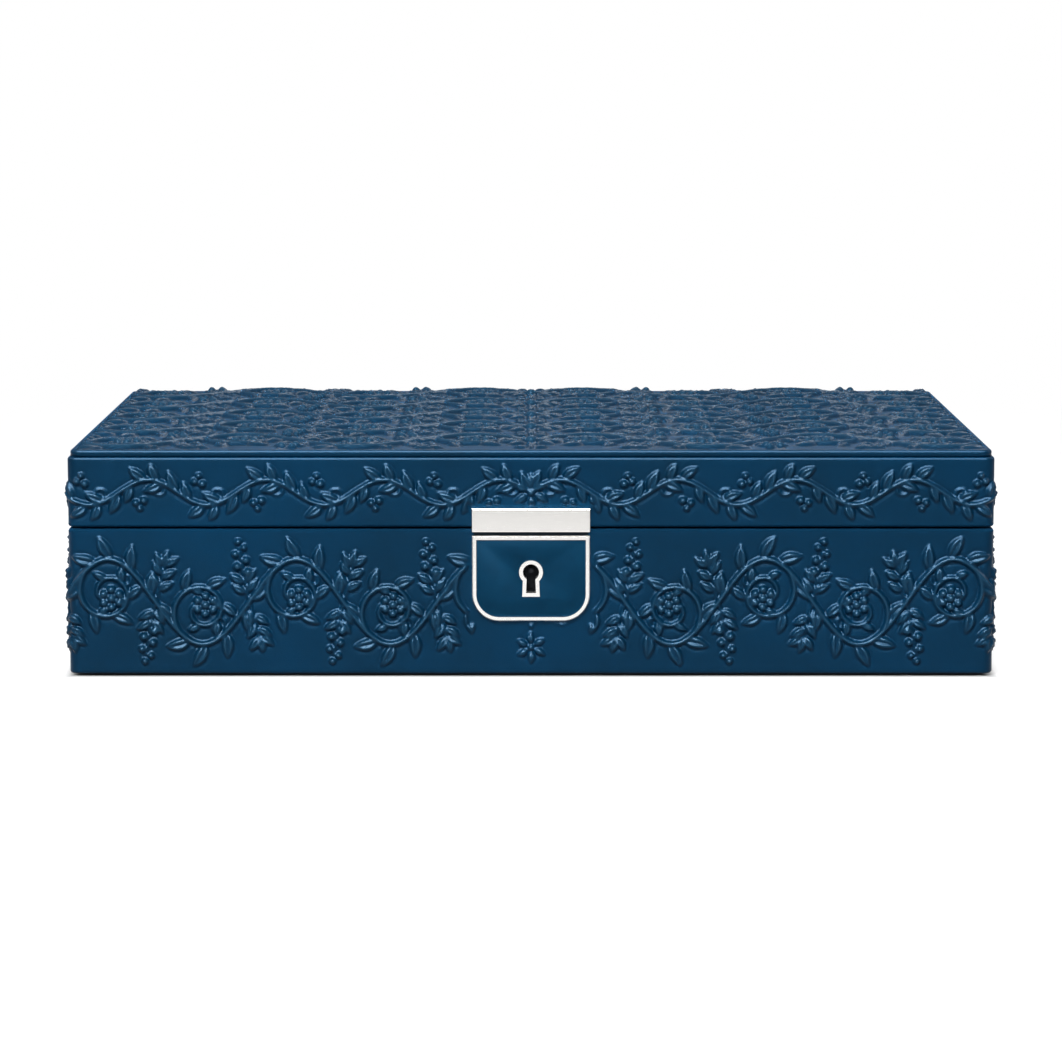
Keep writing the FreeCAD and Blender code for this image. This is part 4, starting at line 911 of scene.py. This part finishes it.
def panel_place(x, y):
    """Draw the grid's square corner into the panel's rounded one. Gives the distance to the edge too."""
    a = (abs(x) - (PANEL_X - PANEL_CORNER)) / PANEL_CORNER
    b = (abs(y) - (PANEL_Y - PANEL_CORNER)) / PANEL_CORNER
    if a <= 0 or b <= 0:
        return x, y, min(PANEL_X - abs(x), PANEL_Y - abs(y))
    round_a = a * math.sqrt(1 - b * b / 2)
    round_b = b * math.sqrt(1 - a * a / 2)
    px = math.copysign(PANEL_X - PANEL_CORNER + PANEL_CORNER * round_a, x)
    py = math.copysign(PANEL_Y - PANEL_CORNER + PANEL_CORNER * round_b, y)
    return px, py, PANEL_CORNER * (1 - math.hypot(round_a, round_b))


def panel_cover():
    """The panel's leather: a crowned grid with its edge drawn down, in underneath, and up inside."""
    across, along = panel_lines(PANEL_X), panel_lines(PANEL_Y)
    wide, deep = len(across), len(along)
    vertices, places, pressed = [], [], []
    for y in along:
        for x in across:
            px, py, inset = panel_place(x, y)
            short = max(PANEL_ROUND - inset, 0.0)
            drop = PANEL_ROUND - math.sqrt(max(PANEL_ROUND ** 2 - short ** 2, 0.0))
            crown = PANEL_CROWN * (1 - (px / PANEL_X) ** CROWN_POWER) * (1 - (py / PANEL_Y) ** CROWN_POWER)
            vertices.append((px * MM, py * MM, (PANEL_TOP - drop + crown) * MM))
            places.append((px, py, 0.0))
            pressed.append(eased((inset - PANEL_PLAIN) / PANEL_FADE))
    faces = grid_faces(deep, wide)
    rim = list(range(wide)) + [j * wide + wide - 1 for j in range(1, deep)]
    rim += [(deep - 1) * wide + i for i in range(wide - 2, -1, -1)]
    rim += [j * wide for j in range(deep - 2, 0, -1)]
    before = rim
    for inset, height in ((0.0, PANEL_FOOT + PANEL_FOOT_ROUND), (PANEL_FOOT_ROUND, PANEL_FOOT),
                          (PANEL_UNDER, PANEL_FOOT), (PANEL_UNDER, PANEL_TOP - PANEL_DEPTH)):
        ring = []
        for index in rim:
            x, y = places[index][0], places[index][1]
            ring.append(len(vertices))
            vertices.append((x * (1 - inset / PANEL_X) * MM, y * (1 - inset / PANEL_Y) * MM, height * MM))
            places.append((x, y, 0.0))
            pressed.append(0.0)
        for k in range(len(rim)):
            n = (k + 1) % len(rim)
            faces.append((before[k], ring[k], ring[n], before[n]))
        before = ring
    faces.append(tuple(before))
    made = mesh_piece("lid_panel_cover", vertices, faces)
    store_places(made, places, pressed)
    return made


panel_leather = panel_cover()
press(panel_leather, top_die, TOP_SUNK_WIDTH)
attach(panel_leather, "lid")
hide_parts("lid_panel_leather", "lid_panel_padding")
for die in (base_die, lid_die, top_die, leaf_shape):
    bpy.data.objects.remove(die)


# Carcass boards
# Eight-millimetre fibreboard walls butted and glued into two trays, with thin board for floor and lid.
# The board is raw: a warm brown, dull, with short pressed fibres. It shows only in the lock's pocket,
# where it is painted black round the keyhole, a painted shade so that the keyhole looks dark.

def dress(material, *nodes):
    """Give CAD pieces a finish in place of the plain one they were packed with."""
    for name in nodes:
        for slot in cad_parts[name].material_slots:
            slot.material = material


fibreboard, tree, coords = new_material("raw_fibreboard")
# Single fibres are too fine to show, so they are drawn in bundles 0.8 mm wide.
FIBRE_MM = 0.8
FIBRE_STRETCH = (0.3, 1.0, 1.0)
KEYHOLE = (0, -95 * MM, 31 * MM)
KEYHOLE_SHADE_REACH = (13.0 * MM, 15.6 * MM)
stretch = add(tree, "ShaderNodeMapping", None, {"Vector": coords, "Scale": FIBRE_STRETCH})
fibres = add(tree, "ShaderNodeTexNoise", None,
             {"Vector": stretch, "Scale": 1000 / FIBRE_MM, "Detail": 5.0, "Roughness": 0.6})
brown = add(tree, "ShaderNodeValToRGB", None, {"Fac": fibres.outputs["Fac"]})
for stop, place, tone in zip(brown.color_ramp.elements, (0.3, 0.7), ("#8A6B48", "#BB9A6E")):
    stop.position, stop.color = place, linear(tone)
bump = add(tree, "ShaderNodeBump", None,
           {"Height": fibres.outputs["Fac"], "Strength": 0.3, "Distance": 0.1 * MM})
# Round the keyhole the board is painted black: painted shade.
from_keyhole = add(tree, "ShaderNodeVectorMath", "DISTANCE", {0: coords, 1: KEYHOLE})
outside_painted_shade = add(tree, "ShaderNodeMapRange", None,
                {"Value": from_keyhole.outputs["Value"],
                 "From Min": KEYHOLE_SHADE_REACH[0], "From Max": KEYHOLE_SHADE_REACH[1]})
with_painted_shade = add(tree, "ShaderNodeMix", {"data_type": "RGBA"},
              {0: outside_painted_shade, 6: linear("#0C0B0A"), 7: brown.outputs["Color"]})
skin = add(tree, "ShaderNodeBsdfPrincipled", None,
           {"Base Color": with_painted_shade.outputs[2], "Roughness": 0.85, "Normal": bump.outputs["Normal"]})
add(tree, "ShaderNodeOutputMaterial", None, {"Surface": skin})
dress(fibreboard, *[f"{half}_{side}_board" for half in ("base", "lid") for side in PANELS],
      "base_floor_board", "lid_top_board", "lid_panel_card")


# Bottom cloth
# Dark blue pressed felt glued over the leather's turned-in edges so that the case does not scratch.
# Its cut edge is a little soft and its face is a short matted pile.

SOFT_MERGE = 0.005 * MM
FLAT_ANGLE = math.radians(2)
SHARP_ANGLE = math.radians(40)


def soft_copy(node, name, rounding, segments):
    """A copy of a plain CAD piece with its edges rounded over, as cloth or suede rounds them."""
    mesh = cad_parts[node].data.copy()
    mesh.name = name
    work = bmesh.new()
    work.from_mesh(mesh)
    bmesh.ops.remove_doubles(work, verts=work.verts, dist=SOFT_MERGE)
    bmesh.ops.dissolve_limit(work, angle_limit=FLAT_ANGLE, verts=work.verts, edges=work.edges)
    sharp = [e for e in work.edges if len(e.link_faces) == 2 and e.calc_face_angle(0) > SHARP_ANGLE]
    bmesh.ops.bevel(work, geom=sharp, offset=rounding * MM, offset_type="OFFSET", segments=segments,
                    profile=0.5, affect="EDGES", clamp_overlap=True)
    for face in work.faces:
        face.smooth = True
    bmesh.ops.recalc_face_normals(work, faces=work.faces)
    work.to_mesh(mesh)
    work.free()
    mesh.materials.clear()
    made = bpy.data.objects.new(name, mesh)
    bpy.context.collection.objects.link(made)
    return made


def pile_material(name, dark, light, pile_mm, patch_mm, sheen, depth):
    """A napped cloth: two close colours in cloudy patches, a fine pile in the bump, and a soft sheen."""
    material, tree, coords = new_material(name)
    patches = add(tree, "ShaderNodeTexNoise", None,
                  {"Vector": coords, "Scale": 1000 / patch_mm, "Detail": 4.0, "Distortion": 0.2})
    # Single fibres are too fine to show, so the pile is drawn in tufts of some tenths of a millimetre.
    pile = add(tree, "ShaderNodeTexNoise", None,
               {"Vector": coords, "Scale": 1000 / pile_mm, "Detail": 3.0, "Roughness": 0.7})
    shade = add(tree, "ShaderNodeMath", "MULTIPLY_ADD",
                {0: pile.outputs["Fac"], 1: 0.45, 2: patches.outputs["Fac"]})
    colour = add(tree, "ShaderNodeValToRGB", None, {"Fac": shade})
    for stop, place, tone in zip(colour.color_ramp.elements, (0.5, 0.95), (dark, light)):
        stop.position, stop.color = place, linear(tone)
    bump = add(tree, "ShaderNodeBump", None,
               {"Height": pile.outputs["Fac"], "Strength": 0.5, "Distance": depth * MM})
    cloth = add(tree, "ShaderNodeBsdfPrincipled", None,
                {"Base Color": colour.outputs["Color"], "Roughness": 0.95, "Specular IOR Level": 0.1,
                 "Sheen Weight": sheen, "Sheen Roughness": 0.45, "Normal": bump.outputs["Normal"]})
    add(tree, "ShaderNodeOutputMaterial", None, {"Surface": cloth})
    return material


def cover(node, body, material, rounding, segments=2):
    """Put a softened, dressed copy in place of a plain CAD piece."""
    made = soft_copy(node, node + "_cover", rounding, segments)
    made.data.materials.append(material)
    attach(made, body)
    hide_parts(node)


bottom_felt = pile_material("dark_blue_felt", "#0A1724", "#142A3C",
                            pile_mm=0.5, patch_mm=6.0, sheen=0.2, depth=0.1)
cover("base_bottom_cover", "base", bottom_felt, rounding=0.3)


# Lock plate, escutcheon and hasp bar
# Zinc castings, nickel plated and polished: a shield-shaped frame with a smooth leather inlay, a raised
# keyhole surround and a plain bar. The polish leaves hair-fine wipe marks that blur what it mirrors. The
# link plate and the hinges are plated the same way.

CROSSWISE = (1.0, 1.0, 12.0)
UPRIGHT = (12.0, 1.0, 1.0)
# How much smoother and rougher the marks make the metal here and there.
MARK_SPREAD = (0.8, 1.25)


def metal(name, colour, roughness, mark_mm, mark_depth, stretch=CROSSWISE):
    """A metal with fine marks from how it was finished, long across the case or upright on it."""
    material, tree, coords = new_material(name)
    # Real marks are only some hundredths of a millimetre wide, and are drawn coarser so that they show.
    drawn = add(tree, "ShaderNodeMapping", None, {"Vector": coords, "Scale": stretch})
    marks = add(tree, "ShaderNodeTexNoise", None,
                {"Vector": drawn, "Scale": 1000 / mark_mm, "Detail": 4.0})
    dull = add(tree, "ShaderNodeMapRange", None,
               {"Value": marks.outputs["Fac"], "From Min": 0.3, "From Max": 0.7,
                "To Min": roughness * MARK_SPREAD[0], "To Max": roughness * MARK_SPREAD[1]})
    bump = add(tree, "ShaderNodeBump", None,
               {"Height": marks.outputs["Fac"], "Strength": 0.2, "Distance": mark_depth * MM})
    shine = add(tree, "ShaderNodeBsdfPrincipled", None,
                {"Base Color": linear(colour), "Metallic": 1.0, "Roughness": dull,
                 "Normal": bump.outputs["Normal"]})
    add(tree, "ShaderNodeOutputMaterial", None, {"Surface": shine})
    return material


nickel = metal("polished_nickel_plate", "#E6E4E1", roughness=0.16, mark_mm=4.0, mark_depth=0.002)
dress(nickel, "lock_plate", "keyhole_escutcheon", "hasp_bar", "link_plate", "hinge_base_screws",
      "hinge_lid_screws", *[f"hinge_{piece}_{side}" for piece in ("base_leaf", "lid_leaf", "pin")
                            for side in ("left", "right")])

# Smooth calf has an even grain, finer than the cowhide's, a faint cloud in the dye and a low sheen.
inlay_blue, tree, coords = new_material("blue_smooth_calf")
CALF_GRAIN_MM = 0.35
CALF_CLOUD_MM = 6.0
calf = add(tree, "ShaderNodeTexVoronoi", {"feature": "SMOOTH_F1"},
           {"Vector": coords, "Scale": 1000 / CALF_GRAIN_MM})
clouds = add(tree, "ShaderNodeTexNoise", None,
             {"Vector": coords, "Scale": 1000 / CALF_CLOUD_MM, "Detail": 3.0})
blue = add(tree, "ShaderNodeValToRGB", None, {"Fac": clouds.outputs["Fac"]})
for stop, place, tone in zip(blue.color_ramp.elements, (0.3, 0.7), ("#03283F", "#052F48")):
    stop.position, stop.color = place, linear(tone)
bump = add(tree, "ShaderNodeBump", None,
           {"Height": calf.outputs["Distance"], "Strength": 0.2, "Distance": 0.04 * MM})
skin = add(tree, "ShaderNodeBsdfPrincipled", None,
           {"Base Color": blue.outputs["Color"], "Roughness": 0.40, "Specular IOR Level": 0.15,
            "Specular Tint": linear("#9CD4FF"), "Normal": bump.outputs["Normal"]})
add(tree, "ShaderNodeOutputMaterial", None, {"Surface": skin})
cover("lock_inlay", "base", inlay_blue, rounding=0.4, segments=3)


# Lock works
# A pressed case of bright rolled steel let into the front board, with its screws. Its cap, key post and
# bolt spring are near-black steel, painted shade that keeps the keyhole dark, and the bolt and its stump
# are brass, milled along the bolt's length.

lock_steel = metal("bright_rolled_steel", "#A9ABAD", roughness=0.32, mark_mm=1.2, mark_depth=0.004,
                   stretch=UPRIGHT)
# Near-black steel for the parts inside the lock: painted shade that keeps the keyhole dark.
keyhole_shade_steel = metal("near_black_steel_keyhole_shade", "#1E1F22", roughness=0.4, mark_mm=1.2, mark_depth=0.004,
                    stretch=UPRIGHT)
lock_brass = metal("milled_brass", "#C9A24E", roughness=0.28, mark_mm=0.8, mark_depth=0.005)
dress(keyhole_shade_steel, "lock_cap", "bolt_spring", "key_post")
dress(lock_steel, "lock_case", "lock_screws", "lock_plate_pins", "hasp_rivets", "link_screws")
dress(lock_brass, "lock_bolt", "bolt_stump")


# Linings
# Grey-blue suede cloth glued to thin card on the walls and floor of both halves and round the mirror.
# Its nap lies in cloudy patches, paler where it has been brushed the other way.

suede = pile_material("grey_blue_suede", "#5A6470", "#67727F",
                      pile_mm=0.35, patch_mm=11.0, sheen=0.3, depth=0.06)
for side in (*PANELS, "floor"):
    cover(f"base_lining_{side}", "base", suede, rounding=0.3)
for side in PANELS:
    cover(f"lid_lining_{side}", "lid", suede, rounding=0.3)
cover("lid_mirror_frame", "lid", suede, rounding=0.6, segments=3)
for side in ("left", "right"):
    cover(f"lower_divider_{side}", "base", suede, rounding=0.6, segments=3)


# Mirror
# Silvered float glass held behind the suede frame. It is a true mirror with the faint green-grey of
# glass, and a slight haze where it was wiped.

silvered, tree, coords = new_material("silvered_float_glass")
HAZE_MM = 40.0
haze = add(tree, "ShaderNodeTexNoise", None, {"Vector": coords, "Scale": 1000 / HAZE_MM, "Detail": 4.0})
wiped = add(tree, "ShaderNodeMapRange", None,
            {"Value": haze.outputs["Fac"], "From Min": 0.4, "From Max": 0.8,
             "To Min": 0.01, "To Max": 0.05})
glass = add(tree, "ShaderNodeBsdfPrincipled", None,
            {"Base Color": linear("#E6ECEA"), "Metallic": 1.0, "Roughness": wiped})
add(tree, "ShaderNodeOutputMaterial", None, {"Surface": glass})
dress(silvered, "lid_mirror")


# Lift-out tray
# Thin board covered in the same suede: walls, floor and dividers, each edge rounded by the cloth that
# is folded over it. Two leather tabs stand above the side walls to lift it by.

cover("tray_floor", "tray", suede, rounding=0.4)
for side in PANELS:
    cover(f"tray_{side}_wall", "tray", suede, rounding=0.7, segments=3)
cover("tray_dividers", "tray", suede, rounding=0.7, segments=3)
cover("tray_pull_tabs", "tray", inlay_blue, rounding=0.25)


# Ring rolls
# Six foam rolls covered in velvet, wedged side by side in the tray's middle so that a ring's band is
# held in the slit between two of them. The velvet is drawn in at each end and dips at the slits.

ROLL_COUNT = 6
ROLL_LOW, ROLL_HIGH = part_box("ring_rolls")
ROLL_SHORT = 0.02
ROLL_PITCH = (ROLL_HIGH[0] - ROLL_LOW[0]) / MM / (ROLL_COUNT - ROLL_SHORT)
ROLL_SLIT = 0.12
ROLL_HALF = ROLL_PITCH / 2 - ROLL_SLIT
ROLL_LENGTH = (ROLL_HIGH[1] - ROLL_LOW[1]) / MM
ROLL_FOOT, ROLL_TOP = ROLL_LOW[2] / MM, ROLL_HIGH[2] / MM
ROLL_ROWS = 72
ROLL_POINTS = 40
ROLL_END = 4.0
ROLL_DRAW_IN = 0.65
ROLL_SWELL, ROLL_WAVES = 0.012, 3
FOOT_POWER = 3.2


def roll_section(share):
    """A point round a roll's section, 0 to 1: flat foot, upright sides and a round crown."""
    angle = 2 * math.pi * share - math.pi / 2
    x, z = math.cos(angle), math.sin(angle)
    grow = 1.0
    if z < 0:
        grow = 1 / (abs(x) ** FOOT_POWER + abs(z) ** FOOT_POWER) ** (1 / FOOT_POWER)
    return x * grow, z * grow


def ring_roll(number, vertices, faces):
    """Add one roll's points and faces, drawn in at both ends and not quite even along its length."""
    centre_x = (number - (ROLL_COUNT - 1) / 2) * ROLL_PITCH
    centre_z = (ROLL_FOOT + ROLL_TOP) / 2
    half_height = (ROLL_TOP - ROLL_FOOT) / 2
    first = len(vertices)
    for row in range(ROLL_ROWS + 1):
        along = row / ROLL_ROWS * ROLL_LENGTH - ROLL_LENGTH / 2
        from_end = ROLL_LENGTH / 2 - abs(along)
        near = max(1 - from_end / ROLL_END, 0.0)
        draw_in = math.sqrt(max(1 - near ** 2 * ROLL_DRAW_IN, 0.0))
        wave = math.cos(along / ROLL_LENGTH * 2 * math.pi * ROLL_WAVES + number)
        swell = 1 - ROLL_SWELL * (1 - wave) * (1 - near)
        for point in range(ROLL_POINTS):
            x, z = roll_section(point / ROLL_POINTS)
            height = centre_z + half_height * z * (draw_in * swell if z > 0 else 1.0)
            vertices.append(((centre_x + ROLL_HALF * x * draw_in) * MM, along * MM, height * MM))
    for row in range(ROLL_ROWS):
        for point in range(ROLL_POINTS):
            a = first + row * ROLL_POINTS + point
            b = first + row * ROLL_POINTS + (point + 1) % ROLL_POINTS
            faces.append((a, b, b + ROLL_POINTS, a + ROLL_POINTS))
    faces.append(tuple(first + p for p in reversed(range(ROLL_POINTS))))
    faces.append(tuple(first + ROLL_ROWS * ROLL_POINTS + p for p in range(ROLL_POINTS)))


# Velvet has a short upright pile, a little paler and with more sheen than the suede.
velvet = pile_material("grey_velvet", "#656F7B", "#75808C",
                       pile_mm=0.3, patch_mm=8.0, sheen=0.4, depth=0.05)
roll_vertices, roll_faces = [], []
for number in range(ROLL_COUNT):
    ring_roll(number, roll_vertices, roll_faces)
rolls = mesh_piece("ring_rolls_velvet", roll_vertices, roll_faces, velvet)
tidy_mesh(rolls.data)
for face in rolls.data.polygons:
    face.use_smooth = len(face.vertices) == 4
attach(rolls, "tray")
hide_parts("ring_rolls")
